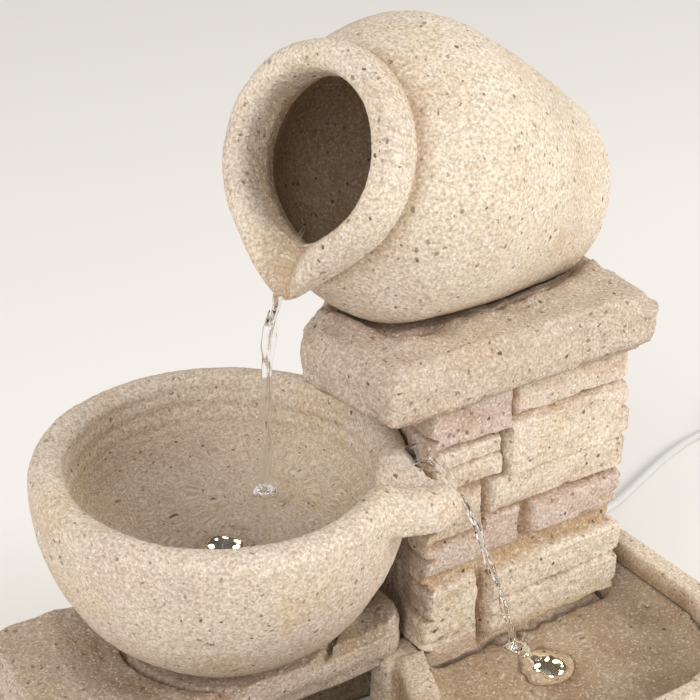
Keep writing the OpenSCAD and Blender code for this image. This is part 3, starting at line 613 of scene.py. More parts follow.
CORD = 4.0
CORD_ROUTE = [
    (92, 85, 14), (93, 92, 12.5), (95, 100, 8), (99, 108, 4), (107, 114, 2),
    (120, 115, 2), (136, 109, 2), (154, 101, 2), (174, 94, 2), (194, 91, 2),
    (212, 94, 2), (230, 101, 2), (250, 109, 2), (270, 116, 2), (290, 121, 2),
    (308, 122, 2), (323, 121, 2)]
coil_low, coil_high = corners("cord_coil")
coil_middle = (coil_low + coil_high) / 2
coil_outer = (coil_high.x - coil_low.x) / 2 - CORD / 2


def coil_turns():
    """The coil's path: clockwise turns beside and on each other."""
    rings = [0, 1, 2, 2, 1, 0, 1, 2, 0]
    layers = [0, 0, 0, 1, 1, 1, 2, 2, 2]
    start, per_turn = 116, 48
    leave = 8 * 360 + start - 6
    path = []
    for i in range(int(leave * per_turn / 360) + 1):
        travel = i * 360 / per_turn
        turn = int(travel // 360)
        blend = float(step(0, 80, travel % 360)) if turn else 1.0
        before = max(turn - 1, 0)
        ring = rings[before] + (rings[turn] - rings[before]) * blend
        layer = layers[before] + (layers[turn] - layers[before]) * blend
        skips = abs(rings[turn] - rings[before]) > 1
        hump = CORD * math.sin(math.pi * blend) if skips else 0
        radius = coil_outer - ring * CORD
        if turn == 0:
            radius += 1.2 * (1 - float(step(0, 60, travel)))
        angle = math.radians(start - travel)
        path.append(Vector((coil_middle.x + radius * math.cos(angle),
                            coil_middle.y + radius * math.sin(angle),
                            CORD / 2 + layer * CORD + hump)))
    return path


def make_cord():
    tail_low, tail_high = corners("cord_tail")
    plug = Vector(((tail_low.x + tail_high.x) / 2, tail_low.y, CORD))
    tail = [plug + Vector((0.4, 15, 4.4)), plug + Vector((0.1, 7, 1.4)), plug]
    route = [Vector(p) for p in CORD_ROUTE[:-1]] + [Vector((322, 123.4, 2))]
    points = route + coil_turns() + tail
    curve = bpy.data.curves.new("power_cord", "CURVE")
    curve.dimensions = "3D"
    line = curve.splines.new("NURBS")
    line.points.add(len(points) - 1)
    for spot, p in zip(line.points, points):
        spot.co = (*(p * MM), 1)
    line.use_endpoint_u = True
    line.order_u = 4
    curve.resolution_u = 4
    curve.bevel_depth = CORD / 2 * MM
    curve.bevel_resolution = 3
    curve.use_fill_caps = True
    cord = bpy.data.objects.new("power_cord", curve)
    bpy.context.collection.objects.link(cord)
    curve.materials.append(cord_vinyl)
    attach(cord, "root")
    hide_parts("cord_lead", "cord_coil", "cord_tail")


make_cord()


# ------------------------------------------------------------------ jug

def jug_outline():
    """Half section of the jug, from the foot's middle out, over the rim, and in."""
    outer = [(0, -JUG_LENGTH), (JUG_FOOT - 10, -JUG_LENGTH)]
    outer += [(JUG_FOOT - 10 + 10 * math.sin(math.radians(a)),
               -JUG_LENGTH + 10 - 10 * math.cos(math.radians(a))) for a in range(15, 91, 15)]
    length = JUG_LENGTH - 10 - JUG_BELLY
    outer += [(JUG_RADIUS - (JUG_RADIUS - JUG_FOOT) * (1 - t) ** 1.31,
               -JUG_BELLY - length * (1 - t)) for t in np.linspace(0.05, 1, 18)]
    outer += [(NECK_RADIUS + (JUG_RADIUS - NECK_RADIUS) * math.sin(math.pi / 2 * (1 - t)),
               -JUG_BELLY + (JUG_BELLY - COLLAR_HALF) * t) for t in np.linspace(0.06, 1, 16)]
    mid, half = (COLLAR_RADIUS + MOUTH_RADIUS) / 2, (COLLAR_RADIUS - MOUTH_RADIUS) / 2
    collar = []
    for a in range(-62, 181, 11):
        c, s = math.cos(math.radians(a)), math.sin(math.radians(a))
        power = 0.82
        collar.append((mid + half * math.copysign(abs(c) ** power, c),
                       COLLAR_HALF * math.copysign(abs(s) ** power, s)))
    inner = [(x - JUG_WALL, z) for x, z in outer[::-1] if z < -COLLAR_HALF - 2
             and x - JUG_WALL > 4]
    inner = [(max(x, 0), max(z, -JUG_LENGTH + JUG_WALL)) for x, z in inner]
    return outer + collar + [(MOUTH_RADIUS - 0.6, -5)] + inner + [(0, -JUG_LENGTH + JUG_WALL)]


def even(outline, spacing):
    """The outline again with points an even distance apart."""
    line = np.array(outline, dtype=float)
    along = np.concatenate([[0], np.cumsum(np.hypot(*np.diff(line, axis=0).T))])
    marks = np.linspace(0, along[-1], int(along[-1] / spacing) + 1)
    return np.stack([np.interp(marks, along, line[:, 0]),
                     np.interp(marks, along, line[:, 1])], axis=1)


def make_jug():
    outline = even(jug_outline(), 0.95)
    segments = 330
    tangent = math.acos(COLLAR_RADIUS / LIP_REACH)
    points, faces = [], []
    count = len(outline)
    turns = np.linspace(0, math.tau, segments, endpoint=False)
    for turn in turns:
        away = abs((turn + math.pi) % math.tau - math.pi)
        lean = max(0.0, tangent - math.sqrt(away ** 2 + 0.10 ** 2) + 0.03)
        stretch = 1 / math.cos(lean)
        r, s = outline[:, 0], outline[:, 1]
        near = step(-24, -3, s)
        grown = r * (1 + (stretch - 1) * near * step(MOUTH_RADIUS - 9, COLLAR_RADIUS, r))
        out = np.clip((grown - COLLAR_RADIUS) / (LIP_REACH - COLLAR_RADIUS), 0, 1)
        along = s * (1 - 0.42 * out * (s > -9)) + 1.0 * out
        across = grown * math.sin(away if away < math.pi / 2 else math.pi / 2)
        width = 9.0 - 4.5 * step(MOUTH_RADIUS, LIP_REACH, grown)
        groove = np.exp(-(across / width) ** 2) * step(16, 27, grown) * step(-2, 5, s)
        along = along - groove * (8.0 - 3.0 * out)
        for radius, height in zip(grown, along):
            points.append((radius * math.cos(turn), radius * math.sin(turn), height))
    for j in range(segments):
        here, there = j * count, (j + 1) % segments * count
        for i in range(count - 1):
            faces.append([here + i, there + i, there + i + 1, here + i + 1])
    placed = [JUG_PLACE @ Vector(p) for p in points]
    jug = new_piece("jug_pot", placed, faces, jug_stone, slot="jug_stone")
    weld = jug.modifiers.new("weld", "WELD")
    weld.merge_threshold = 0.00002
    smooth = jug.modifiers.new("smooth", "SMOOTH")
    smooth.factor, smooth.iterations = 0.5, 4
    evaluated(jug)
    before, normals = weather(jug, 0.55, 0.16, 0.0, 1, 30.0)
    local = np.array([JUG_PLACE.inverted() @ Vector(p) for p in before])
    radius = np.hypot(local[:, 0], local[:, 1])
    inward = (np.einsum("ij,ij->i", np.array([JUG_PLACE.to_3x3().inverted() @ Vector(n)
              for n in normals])[:, :2], local[:, :2]) < 0)
    # Painted shade: inside the mouth, in the crease under the collar, low on the belly where it rests
    # on the cap, and along the lip's groove.
    inside = step(6, -4, local[:, 2]) * inward * (radius < JUG_RADIUS - 3)
    crease = np.exp(-((local[:, 2] + 9) / 3.0) ** 2) * (radius < 40) * (radius > 30)
    under = step(cap_high.z + 16, cap_high.z + 1, before[:, 2]) * 0.5
    channel = np.exp(-(local[:, 1] / 8) ** 2) * (local[:, 0] > 18) * (local[:, 2] > -6) * 0.75
    set_hollow(jug, np.maximum.reduce([inside * 0.75, crease * 0.7, under, channel]))
    set_tone(jug, np.zeros(len(before)))
    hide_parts("jug")


# ------------------------------------------------------------------ bowl

def make_bowl():
    bowl = skin_of("bowl_pot", ["bowl"], 1.15, 7)
    finish_piece(bowl, bowl_stone)
    points, normals = points_of(bowl)
    root = np.linalg.norm(points - np.array([SPOUT.x, SPOUT.y, SPOUT.z]), axis=1)
    soften(bowl, step(30, 24, root), 12)
    points, normals = points_of(bowl)
    flat = points[:, :2] - np.array([bowl_axis.x, bowl_axis.y])
    away = np.hypot(flat[:, 0], flat[:, 1])
    angle = np.arctan2(flat[:, 1], flat[:, 0])
    rim = step(bowl_high.z - 16, bowl_high.z, points[:, 2])
    wave = 1.3 * np.cos(angle - 1.9) + 0.7 * np.cos(2 * angle + 0.6)
    points[:, 2] += rim * (wave - 0.6)
    inside = (away < BOWL_RADIUS - 7) * (points[:, 2] > bowl_low.z + 9)
    wall = inside * step(bowl_low.z + 20, bowl_high.z - 8, points[:, 2])
    marks = np.sin(points[:, 2] * 0.95 + 1.6 * lumps(points, 40, 2, 7))
    inward = -flat / np.maximum(away, 1)[:, None]
    points[:, :2] += inward * (0.35 * marks * wall)[:, None]
    move_points(bowl, points)
    weather(bowl, 0.5, 0.17, 0.25, 2, 26.0)
    # Inside, the wall darkens from just under the rim to below the water line: wet stone together with
    # painted shade inside the bowl. The foot where the bowl sits on the shelf gets painted shade.
    wet = inside * step(bowl_high.z - 4, BOWL_WATER - 3, points[:, 2])
    seat = step(bowl_low.z + 13, bowl_low.z, points[:, 2]) * 0.55 * (1 - inside)
    set_hollow(bowl, np.maximum(wet * 0.15, seat))
    set_tone(bowl, 0.25 * step(0, 1, lumps(points, 45, 2, 12)) * ~inside)
    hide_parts("bowl")


# ------------------------------------------------------------------ slabs

def make_shelf():
    slab = skin_of("shelf_stone", ["shelf_slab"], 1.2, 6)
    finish_piece(slab, slab_stone)
    points, normals = points_of(slab)
    flat = points[:, :2] - np.array([bowl_axis.x, bowl_axis.y])
    away = np.hypot(flat[:, 0], flat[:, 1])
    angle = np.arctan2(flat[:, 1], flat[:, 0])
    top = (normals[:, 2] > 0.3) * step(slab_high.z - 7, slab_high.z - 4, points[:, 2])
    upper = step(slab_high.z - 14, slab_high.z - 1, points[:, 2])
    dish = 3.6 * step(64, 46, away) * (away > 39)
    brush = 0.5 * lumps(np.stack([away * 4, angle * 25, away * 0], axis=1), 9, 3, 4)
    points[:, 2] -= upper * (dish + brush * step(76, 58, away))
    points[:, 2] -= 4.0 * step(slab_low.z + 6, slab_low.z, points[:, 2])
    points[:, 2] += top * 1.1 * lumps(points, 34, 3, 5)
    side = (np.abs(normals[:, 2]) < 0.6)
    rough = 0.9 * lumps(points, 22, 3, 8) + 0.5 * lumps(points * np.array([0.5, 0.5, 1.4]), 9, 3, 9)
    points += normals * (side * np.minimum(rough, 1.0))[:, None]
    move_points(slab, points)
    weather(slab, 0.35, 0.24, 0.45, 3)
    # Painted shade: the dished top round the bowl's foot is darkened in patches, and the whole top a
    # little.
    hollow = top * step(70, 44, away) * (0.45 + 0.55 * step(-1, 0.6, lumps(points, 12, 3, 6)))
    set_hollow(slab, np.maximum(hollow, top * 0.25))
    set_tone(slab, 0.45 * step(-0.3, 0.6, lumps(points, 40, 2, 15)) + 0.2 * side)
    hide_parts("shelf_slab")


def make_cap():
    slab = skin_of("cap_stone", ["cap_slab"], 1.2, 6)
    finish_piece(slab, slab_stone)
    points, normals = points_of(slab)
    local = np.array([JUG_PLACE.inverted() @ Vector(p) for p in points])
    radius = np.hypot(local[:, 0], local[:, 1])
    swell = np.interp(-local[:, 2], [0, JUG_BELLY, JUG_LENGTH - 10, JUG_LENGTH + 6],
                      [NECK_RADIUS, JUG_RADIUS, JUG_FOOT, JUG_FOOT - 8])
    gap = radius - swell
    gap = np.where(local[:, 2] < -JUG_LENGTH, np.maximum(gap, -JUG_LENGTH - local[:, 2]), gap)
    top = (normals[:, 2] > 0.3) * step(cap_high.z - 6, cap_high.z - 3, points[:, 2])
    ridge = np.exp(-((gap - 7) / 4.0) ** 2) * (1 + 0.8 * lumps(points, 12, 3, 31))
    moat = np.exp(-((gap - 2.5) / 1.5) ** 2)
    points[:, 2] += top * (2.2 * ridge - 0.7 * moat + 0.9 * lumps(points, 26, 3, 32))
    crack = np.exp(-((gap - 5.5 + 2.0 * lumps(points, 9, 2, 33)) / 0.8) ** 2)
    crack *= step(0.05, 0.4, lumps(points, 18, 2, 34))
    points[:, 2] -= top * 2.2 * crack
    side = (np.abs(normals[:, 2]) < 0.6)
    strata = lumps(points * np.array([0.4, 0.4, 1.4]), 11, 3, 35)
    rough = 1.5 * lumps(points, 22, 3, 36) + 0.9 * strata
    bitten = step(0.25, 0.6, lumps(points, 13, 3, 39)) * step(cap_low.z + 9, cap_low.z, points[:, 2])
    rough -= 2.4 * bitten
    points += normals * (side * np.clip(rough, -3.5, 1.1))[:, None]
    move_points(slab, points)
    weather(slab, 0.4, 0.25, 0.5, 4)
    # Painted shade in the ring round the jug's belly and along the lower edge of the sides; the cracks
    # are darkened as well.
    hollow = np.maximum(top * step(13, 3, gap) * (0.6 + 0.4 * lumps(points, 10, 2, 37)),
                        top * crack)
    lower = step(cap_low.z + 9, cap_low.z + 2, points[:, 2]) * 0.35
    set_hollow(slab, np.maximum(hollow, lower))
    set_tone(slab, 0.4 * step(-0.2, 0.5, lumps(points, 30, 2, 38)) + 0.15)
    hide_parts("cap_slab")


# ------------------------------------------------------------------ column

# Front stones: left and right edge, lower and upper edge, how far they stand
# out, and their tone from cream (0) to mauve (1)
FRONT_STONES = [
    (17, 52, 148.2, 168, 1.6, 0.85), (54.2, 109, 151.4, 168, 0.4, 0.25),
    (20, 49.4, 130.4, 138.2, 1.2, 0.1), (19, 48.6, 139.2, 146.4, 0.4, 0.2),
    (51.2, 109, 128, 150.4, 2.3, 0.05), (44.0, 109, 115.0, 128.4, 1.6, 0.2),
    (15, 41.6, 110.0, 128.2, 0.8, 0.15), (42.6, 59.4, 97.2, 113.4, 0.4, 0.8),
    (63.6, 109, 98.8, 112.6, 1.5, 0.75), (15, 43.4, 96.2, 108.2, 0.3, 0.7),
    (45.4, 110, 76.2, 89.8, 2.2, 0.1), (45, 110, 58, 75.4, 2.9, 0.15),
    (15, 40.4, 67.6, 90, 1.3, 0.05), (15, 41, 50, 66.8, 0.8, 0.3),
]
COURSES = [(50, 63), (64, 77), (78, 90), (91.5, 103), (104.4, 114), (115.4, 129), (130.4, 141),
           (142.4, 152), (153.2, 168)]
JOINTS = [(0.0, 0.34, 1.0), (0.0, 0.58, 1.0), (0.0, 0.24, 0.66, 1.0), (0.0, 0.45, 1.0)]
TONES = (0.1, 0.75, 0.2, 0.6, 0.05)
JOINT_DEPTH = 3.4


def coursed(low, high, first):
    """Stones in level courses for a plain side of the column."""
    stones = []
    for i, (bottom, top) in enumerate(COURSES):
        splits = JOINTS[(i + first) % len(JOINTS)]
        for j in range(len(splits) - 1):
            left = low + (high - low) * splits[j] + (0.9 if j else -3)
            right = low + (high - low) * splits[j + 1] - (0.9 if splits[j + 1] < 1 else -3)
            out = ((i * 5 + j * 3 + first) % 4) * 0.7
            stones.append((left, right, bottom, top, out, TONES[(i * 2 + j + first) % 5]))
    return stones


def stone_relief(across, up, stones, seed):
    """How far each point of a face stands out, and its tone."""
    where = np.stack([across, up, np.full(len(across), seed * 11.0)], axis=1)
    across = across + 0.9 * lumps(where, 9, 3, seed)
    up = up + 0.8 * lumps(where, 11, 3, seed + 1)
    height = np.full(len(across), -JOINT_DEPTH)
    tone = np.full(len(across), 0.2)
    for left, right, low, high, out, value in stones:
        inside = np.minimum(np.minimum(across - left, right - across),
                            np.minimum(up - low, high - up))
        rise = -JOINT_DEPTH + (JOINT_DEPTH + out) * step(-0.7, 1.1, inside) ** 0.6
        tone = np.where(rise > height, value, tone)
        height = np.maximum(height, rise)
    return height, tone


def solid_box(low, high):
    """Closed box between two corners."""
    points = [(x, y, z) for z in (low[2], high[2]) for y in (low[1], high[1])
              for x in (low[0], high[0])]
    faces = [[0, 2, 3, 1], [4, 5, 7, 6], [0, 1, 5, 4], [2, 6, 7, 3], [0, 4, 6, 2], [1, 3, 7, 5]]
    return points, faces


def raw(name, part):
    points, faces = part
    mesh = bpy.data.meshes.new(name)
    mesh.from_pydata([tuple(c * MM for c in p) for p in points], [], faces)
    piece = bpy.data.objects.new(name, mesh)
    bpy.context.collection.objects.link(piece)
    return piece


def carved(name, body, cuts, voxel, smoothing):
    """A body with closed shapes cut out of it, under a fine even skin."""
    piece = raw(name, body)
    tools = [raw(name + "_cut", cut) for cut in cuts]
    for tool in tools:
        knife = piece.modifiers.new("cut", "BOOLEAN")
        knife.object = tool
        knife.solver = "EXACT"
    remesh = piece.modifiers.new("remesh", "REMESH")
    remesh.mode = "VOXEL"
    remesh.voxel_size = voxel * MM
    smooth = piece.modifiers.new("smooth", "SMOOTH")
    smooth.factor, smooth.iterations = 0.5, smoothing
    evaluated(piece)
    for tool in tools:
        bpy.data.objects.remove(tool)
    return piece


def make_column():
    low, high = column_low, column_high
    core = 9.0
    door_low, door_high = corners("rear_door")
    door_lip = 4.0
    gland = middle("cord_gland")
    port_y = hose_axis.y - 14
    barrel = turned([(0, 0), (BOWL_RADIUS + 0.5, 0), (BOWL_RADIUS + 0.5, 90), (0, 90)], 120)
    hole = turned([(0, 0), (5.8, 0), (5.8, 14), (0, 14)], 32)
    cuts = [
        solid_box((low.x + core, low.y + core, low.z - 2), (high.x - core, high.y - core, high.z + 2)),
        solid_box((low.x - 5, port_y, low.z - 2), (low.x + core + 1, port_y + 24, low.z + 34)),
        solid_box((door_low.x + door_lip, high.y - core - 1, door_low.z + door_lip),
                  (door_high.x - door_lip, high.y + 5, door_high.z - door_lip)),
        solid_box((door_low.x - 0.4, high.y - 3.2, door_low.z - 0.4),
                  (door_high.x + 0.4, high.y + 5, door_high.z + 0.4)),
        moved(barrel, Matrix.Translation((bowl_axis.x, bowl_axis.y, slab_low.z))),
        moved(hole, Matrix.Translation((gland.x, high.y + 2, 14))
              @ Matrix.Rotation(math.pi / 2, 4, "X")),
    ]
    column = carved("column_stones", solid_box(low, high), cuts, 1.1, 2)
    finish_piece(column, ledge_stone)
    points, normals = points_of(column)
    visible = step(low.z + 30, low.z + 44, points[:, 2])
    reach = 8.0
    tone = np.full(len(points), 0.3)
    joint = np.zeros(len(points))
    faces = [(1, -1, low.y, 0, FRONT_STONES), (0, 1, high.x, 1, coursed(low.y, high.y, 1)),
             (0, -1, low.x, 1, coursed(low.y, high.y, 2))]
    for seed, (axis, sign, face, across, stones) in enumerate(faces):
        depth = sign * (face - points[:, axis])
        weight = np.clip(1 - depth / reach, 0, 1) * visible
        near = weight > 0
        height, value = stone_relief(points[near, across], points[near, 2], stones, seed + 3)
        shift = sign * (height - 1.2) * weight[near]
        strong = weight[near] > 0.8
        tone[near] = np.where(strong, value, tone[near])
        joint[near] = np.maximum(joint[near], strong * step(0.2, -2.6, height))
        points[near, axis] += shift
    split = lumps(points * np.array([0.5, 0.5, 1.1]), 13, 3, 42)
    outer = ((points[:, 1] < low.y + 6) | (points[:, 0] > high.x - 6) | (points[:, 0] < low.x + 6))
    points += normals * (outer * visible * np.minimum(0.7 * split, 0.7))[:, None]
    move_points(column, points)
    weather(column, 0.3, 0.34, 0.8, 5, 12.0)
    # Painted shade on the inner faces and in the dents of the outer faces; the joints are dark and a
    # wet band runs along the water line.
    inner = ~outer
    bottom = step(TRAY_WATER + 3, TRAY_WATER - 2, points[:, 2]) * 0.6
    chips = 0.55 * step(0.15, -0.7, split) * outer
    set_hollow(column, np.maximum.reduce([joint, inner * 0.3, bottom, chips]))
    set_tone(column, tone)
    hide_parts("column")


# ------------------------------------------------------------------ basin

def cove(points, normals, floor, radius, region):
    """Raises the floor near its walls to a rounded foot of that radius."""
    walls = np.where(region & (np.abs(normals[:, 2]) < 0.35) & (points[:, 2] > floor + 3)
                     & (points[:, 2] < floor + 9))[0]
    tree = kdtree.KDTree(len(walls))
    for i in walls:
        tree.insert((points[i, 0], points[i, 1], 0), int(i))
    tree.balance()
    flat = np.where(region & (normals[:, 2] > 0.5) & (np.abs(points[:, 2] - floor) < 2))[0]
    for i in flat:
        near = tree.find((points[i, 0], points[i, 1], 0))[2]
        if near is not None and near < radius:
            points[i, 2] += radius - math.sqrt(radius ** 2 - (radius - near) ** 2)


def make_basin():
    basin = skin_of("basin_stone_body", ["basin"], 1.5, 5)
    finish_piece(basin, basin_stone)
    points, normals = points_of(basin)
    front = points[:, 1] < column_low.y + 0.5
    beside = points[:, 0] > column_high.x - 4
    tray = (front | beside) & (points[:, 0] > -10) & (points[:, 2] > TRAY_FLOOR - 3)
    cove(points, normals, TRAY_FLOOR, 11.0, tray)
    outer_side = (np.abs(normals[:, 2]) < 0.6) & (
        (points[:, 0] < basin_low.x + 3) | (points[:, 0] > basin_high.x - 3)
        | (points[:, 1] < basin_low.y + 40) | (points[:, 1] > basin_high.y - 3))
    above = step(basin_low.z + 3, basin_low.z + 12, points[:, 2])
    ledge = np.sin(points[:, 2] * 0.42 + 1.8 * lumps(points, 55, 2, 51))
    rough = 1.0 * lumps(points, 28, 3, 52) + 0.5 * ledge
    points += normals * (outer_side * above * np.minimum(rough, 0.6))[:, None]
    rim = (normals[:, 2] > 0.5) & (points[:, 2] > basin_high.z - 5)
    points[:, 2] += rim * 0.5 * lumps(points, 30, 2, 53)
    move_points(basin, points)
    weather(basin, 0.3, 0.2, 0.3, 6)
    # The tray is wet and darker at its water line; the floors and lower inner walls of the basin get
    # painted shade.
    wet_tray = tray * ~outer_side * step(TRAY_WATER + 5, TRAY_WATER - 3, points[:, 2])
    inside = (points[:, 2] < basin_high.z - 10) & (normals[:, 2] > 0.2)
    walls = (~outer_side) & (points[:, 2] < RESERVOIR_WATER + 12)
    set_hollow(basin, np.maximum.reduce([wet_tray * 1.0, inside * 0.7, walls * 0.6]))
    set_tone(basin, 0.25 * step(-0.2, 0.6, lumps(points, 50, 2, 54)))
    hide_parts("basin")


# ------------------------------------------------------------------ rear door

def make_door():
    door = skin_of("door_panel", ["rear_door"], 0.6, 3)
    finish_piece(door, basin_stone, body="rear_door")
    points, normals = points_of(door)
    back = normals[:, 1] > 0.5
    points[:, 1] += back * (0.35 * lumps(points, 10, 3, 61) - 0.25)
    move_points(door, points)
    # Painted shade on the door's inner face, which looks into the column.
    set_hollow(door, 0.25 * (normals[:, 1] < -0.5))
    set_tone(door, 0.4 * step(0, 0.5, lumps(points, 30, 2, 62)))
    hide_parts("rear_door")


# ------------------------------------------------------------------ light pucks

def make_puck(label, centre, foot):
    """Resin puck let into the floor: dark board, six diodes and a faceted lens."""
    place = Matrix.Translation((centre.x, centre.y, foot))
    ring = [(0.2, 0), (9.6, 0), (10, 0.4), (10, 3.3), (9.3, 4.3), (8.2, 4.8), (6.8, 4.9),
            (6.3, 4.5), (6.2, 1.9), (0.2, 1.9)]
    body = moved(turned(ring, 64, close=True), place)
    puck = new_piece(label + "_ring", *body, puck_resin, slot="light_plastic")
    set_hollow(puck, np.full(len(puck.data.vertices), 0.5))
    set_tone(puck, np.zeros(len(puck.data.vertices)))
    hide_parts(label)
    board = moved(turned([(0.2, 2.0), (6.1, 2.0), (6.1, 2.4), (0.2, 2.4)], 48, close=True), place)
    new_piece(label + "_board", *board, board_dark, slot="pump_plastic", smooth=False)
    diodes = []
    for i in range(6):
        turn = math.tau * i / 6
        spot = place @ Matrix.Translation((4 * math.cos(turn), 4 * math.sin(turn), 2.4))
        dome = [(0.05, 0), (0.9, 0), (0.9, 0.3), (0.7, 0.6), (0.35, 0.8), (0.05, 0.85)]
        diodes.append(moved(turned(dome, 16, close=True), spot))
    new_piece(label + "_diodes", *joined("", diodes), diode_warm, slot="light_lens")
    lens = moved(turned([(0.1, 3.7), (6.1, 3.7), (6.1, 4.6), (4.6, 5.6), (2.6, 6.2), (0.1, 6.4)],
                        9, close=True), place)
    cover = new_piece(label + "_cover", *lens, lens_clear, slot="light_lens", smooth=False)
    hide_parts(label + "_lens")


# ------------------------------------------------------------------ water

def water_sheet(name, low, high, level, spacing, drops, inside=None):
    """A rippled water surface over a rectangle; drops are (x, y, height) of rings."""
    xs = np.arange(low[0], high[0] + spacing, spacing)
    ys = np.arange(low[1], high[1] + spacing, spacing)
    grid = np.array([(x, y, level) for y in ys for x in xs])
    for x, y, height in drops:
        away = np.hypot(grid[:, 0] - x, grid[:, 1] - y)
        grid[:, 2] += height * np.cos(away * math.tau / 8.5) * np.exp(-away / 24)
    grid[:, 2] += 0.16 * lumps(grid, 16, 2, 71)
    wide = len(xs)
    faces = [[j * wide + i, j * wide + i + 1, (j + 1) * wide + i + 1, (j + 1) * wide + i]
             for j in range(len(ys) - 1) for i in range(wide - 1)]
    if inside is not None:
        kept = inside(grid)
        faces = [f for f in faces if all(kept[i] for i in f)]
    used = sorted({i for f in faces for i in f})
    index = {old: new for new, old in enumerate(used)}
    faces = [[index[i] for i in f] for f in faces]
    return new_piece(name, grid[used], faces, water_clear, slot="water")


STREAM_LANDING = Vector((-29, 18, BOWL_WATER))
SPOUT_LANDING = Vector((47, -31, TRAY_WATER))


def make_pools():
    reach = bowl_water_radius + 1.5

    def in_bowl(grid):
        return np.hypot(grid[:, 0] - bowl_axis.x, grid[:, 1] - bowl_axis.y) < reach

    water_sheet("bowl_water", (bowl_axis.x - reach, bowl_axis.y - reach),
                (bowl_axis.x + reach, bowl_axis.y + reach), BOWL_WATER, 1.2,
                [(STREAM_LANDING.x, STREAM_LANDING.y, 0.5)], in_bowl)
    front = basin_low.y + 4

    def in_tray(grid):
        x, y = grid[:, 0], grid[:, 1]
        corner = basin_high.x - 52
        past = (x > corner) & (y < front + 48)
        round_off = np.hypot(x - corner, y - front - 48) < 48
        slant = column_low.x + 2 - (column_low.y - y) * 30 / 74.7
        behind = (y > column_low.y - 0.5) & (x < column_high.x - 1)
        return (~past | round_off) & (x > slant - 3) & ~behind

    water_sheet("tray_water", (-16, front), (basin_high.x - 5, column_low.y + 42),
                TRAY_WATER, 1.4, [(SPOUT_LANDING.x, SPOUT_LANDING.y, 0.6)], in_tray)

    def in_reservoir(grid):
        x, y = grid[:, 0], grid[:, 1]
        corner_x, corner_y = basin_low.x + 52, basin_low.y + 52
        past = (x < corner_x) & (y < corner_y)
        round_off = np.hypot(x - corner_x, y - corner_y) < 47
        slant = column_low.x - 9 - (column_low.y - y) * 30 / 74.7
        return (~past | round_off) & ((x < slant) | (y > column_low.y)) & (x < column_low.x + 1)

    water_sheet("reservoir_water", (basin_low.x + 6, basin_low.y + 6),
                (column_low.x, basin_high.y - 6), RESERVOIR_WATER, 2.4, [], in_reservoir)


def strand(start, end, sag, width, seed, count=60):
    """A falling strand of water that thins, twists and beads as it drops."""
    start, end = Vector(start), Vector(end)
    path, radii = [], []
    for i in range(count):
        t = i / (count - 1)
        spot = start.lerp(end, t ** 0.55 if sag else t ** 0.8)
        spot.z = start.z + (end.z - start.z) * t
        wobble = noise.noise_vector(Vector((seed, t * 7, 0))) * min(1.1, 6 * t)
        path.append(spot + Vector((wobble.x, wobble.y, 0)))
        bead = 1 + 0.42 * noise.noise(Vector((seed + 5, t * 15, 2)))
        taper = min(1.0, 0.08 + 9 * t)
        radii.append(width * (1.15 - 0.4 * t) * bead * taper)
    return tube(path, radii, 12, 0.6)


def splash(centre, radius, seed):
    """A low crown of thrown-up droplets where a stream lands."""
    parts = []
    crown = [(radius * 0.25, 0.1), (radius * 0.5, 0.9), (radius * 0.75, 1.3), (radius, 0.5),
             (radius * 1.1, 0.0), (radius * 0.6, -0.6)]
    parts.append(moved(turned(crown, 40, close=True), Matrix.Translation(centre)))
    for i in range(12):
        turn = i * 2.4
        out = radius * (0.8 + 0.9 * abs(noise.noise(Vector((seed, i, 1)))))
        high = 1.2 + 4.5 * abs(noise.noise(Vector((seed, i * 1.7, 4))))
        size = 0.35 + 0.35 * abs(noise.noise(Vector((seed, i * 2.3, 7))))
        spot = centre + Vector((out * math.cos(turn), out * math.sin(turn), high))
        ball = [(size * math.sin(a), -size * math.cos(a))
                for a in np.linspace(0.15, math.pi - 0.15, 7)]
        parts.append(moved(turned(ball, 10, close=True), Matrix.Translation(spot)))
    return parts


def pulled(points, widths, sides=16, squash=0.4):
    """A film of water along a curve, with both ends drawn to a point."""
    path = curve_through(points, 6)
    count = len(path) - 1
    radii = []
    for i in range(len(path)):
        t = i / count
        radii.append(float(np.interp(t, np.linspace(0, 1, len(widths)), widths)))
    return tube(path, radii, sides, squash)


def make_streams():
    def lip(x, z):
        return JUG_PLACE @ Vector((x, 0, z))

    tip = lip(LIP_REACH - 1.5, 1.5)
    parts = [pulled([lip(MOUTH_RADIUS - 4, -3), lip(MOUTH_RADIUS + 8, 1.2), lip(LIP_REACH - 5, 2.2),
                     tip, tip + Vector((-2.0, 0, -6)), tip + Vector((-3.6, 0.3, -16))],
                    [0.5, 3.6, 3.4, 3.0, 2.2, 0.2])]
    for side, width, seed in ((-1.3, 1.7, 3), (1.1, 1.4, 8), (0.0, 1.0, 21)):
        start = tip + Vector((-1.2 + side, -0.4 * side, -2))
        parts.append(strand(start, STREAM_LANDING + Vector((side, 0.3 * side, 0)), True, width, seed))
    parts += splash(STREAM_LANDING, 4.2, 5)
    new_piece("jug_stream", *joined("", parts), stream_clear, slot="water")

    lead = [(-6, -2, BOWL_WATER + 0.4), (1, -9, BOWL_WATER + 3), (8, -13.5, 149), (13.8, -17, 151.4),
            (18, -18.5, 147), (22, -20.5, 140), (25, -22.5, 132), (29, -24, 122)]
    parts = [pulled(lead, [0.4, 4.5, 4.6, 4.0, 3.4, 2.8, 2.0, 0.2], 16, 0.3)]
    for side, width, seed in ((-0.6, 1.4, 12), (0.7, 1.1, 17), (0.0, 0.7, 33)):
        start = Vector((24.5 + side, -22.5, 134))
        parts.append(strand(start, SPOUT_LANDING + Vector((side, 0.4 * side, 0)), False, width, seed))
    parts += splash(SPOUT_LANDING, 4.6, 15)
    new_piece("spout_stream", *joined("", parts), stream_clear, slot="water")


# ------------------------------------------------------------------ pump and small parts

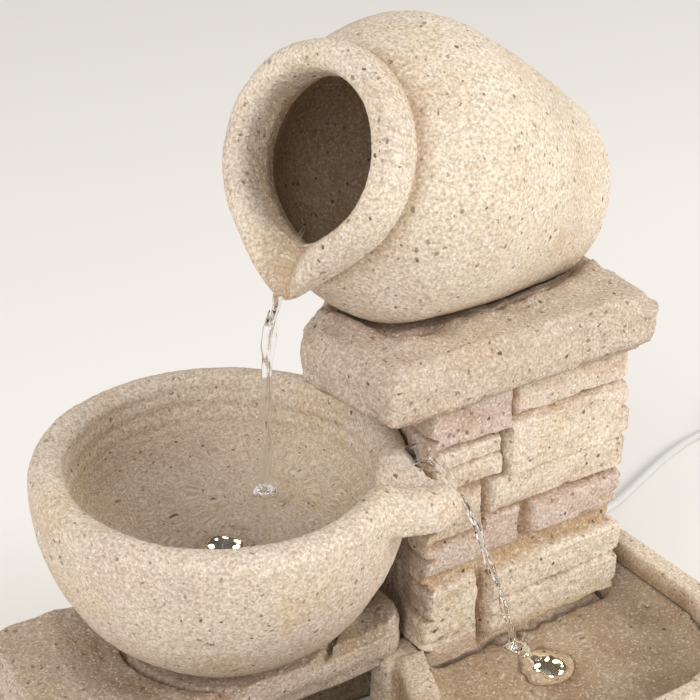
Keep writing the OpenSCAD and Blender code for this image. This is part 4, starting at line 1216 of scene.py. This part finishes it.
FINISHES = {
    "feet": foot_rubber, "pump_housing": pump_black, "pump_volute": pump_black,
    "pump_cover": pump_black, "rotor": rotor_white, "rotor_shaft": ceramic,
    "flow_knob": knob_grey, "suction_cups": cup_rubber, "riser_hose": hose_clear,
    "hose_grommet": cup_rubber, "light_leads": cord_vinyl, "pump_lead": pump_black,
    "lead_joiner": pump_black, "cord_gland": cord_vinyl, "cord_inner": cord_vinyl,
    "cord_tie": tie_black, "adaptor": adaptor_white, "adaptor_pins": pin_metal,
    "door_magnets": magnet_steel, "column_magnets": magnet_steel,
}


def finish_nodes():
    for name, material in FINISHES.items():
        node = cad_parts[name]
        node.data.materials.clear()
        node.data.materials.append(material)


# ------------------------------------------------------------------ stage

def make_stage():
    material, w, shader, out = plain_material("floor_paint")
    place = w.coordinates()
    drift = w.noise(place, 2.0, 2, 0.5)
    w.join(w.mix(drift, (0.86, 0.84, 0.815, 1), (0.90, 0.88, 0.855, 1)),
           shader.inputs["Base Color"])
    shader.inputs["Roughness"].default_value = 0.7
    bpy.ops.mesh.primitive_plane_add(size=60, location=(0, 0, 0))
    floor = bpy.context.object
    floor.name = "floor"
    floor.data.materials.append(material)


def light(name, place, aim, size, power, colour):
    data = bpy.data.lights.new(name, "AREA")
    data.shape = "DISK"
    data.size = size
    data.energy = power
    data.color = colour
    lamp = bpy.data.objects.new(name, data)
    lamp.location = place
    lamp.rotation_euler = (Vector(aim) - Vector(place)).to_track_quat("-Z", "Y").to_euler()
    bpy.context.collection.objects.link(lamp)


def light_studio():
    world = bpy.data.worlds.new("studio")
    world.use_nodes = True
    sky = world.node_tree.nodes["Background"]
    sky.inputs["Color"].default_value = (1.0, 0.975, 0.945, 1)
    sky.inputs["Strength"].default_value = 0.68
    bpy.context.scene.world = world
    aim = (0.0, 0.0, 0.15)
    light("window", (1.2, -0.95, 0.85), aim, 0.8, 16.5, (1.0, 0.975, 0.94))
    light("fill", (-1.3, -0.7, 1.1), aim, 1.3, 16, (1.0, 0.985, 0.965))
    bpy.context.scene.view_settings.view_transform = "Standard"


# ------------------------------------------------------------------ build

make_jug()
make_bowl()
make_shelf()
make_cap()
make_column()
make_basin()
make_door()
for label in ("bowl_light", "tray_light"):
    make_puck(label, middle(label), corners(label)[0].z)
make_pools()
make_streams()
finish_nodes()
make_stage()
light_studio()
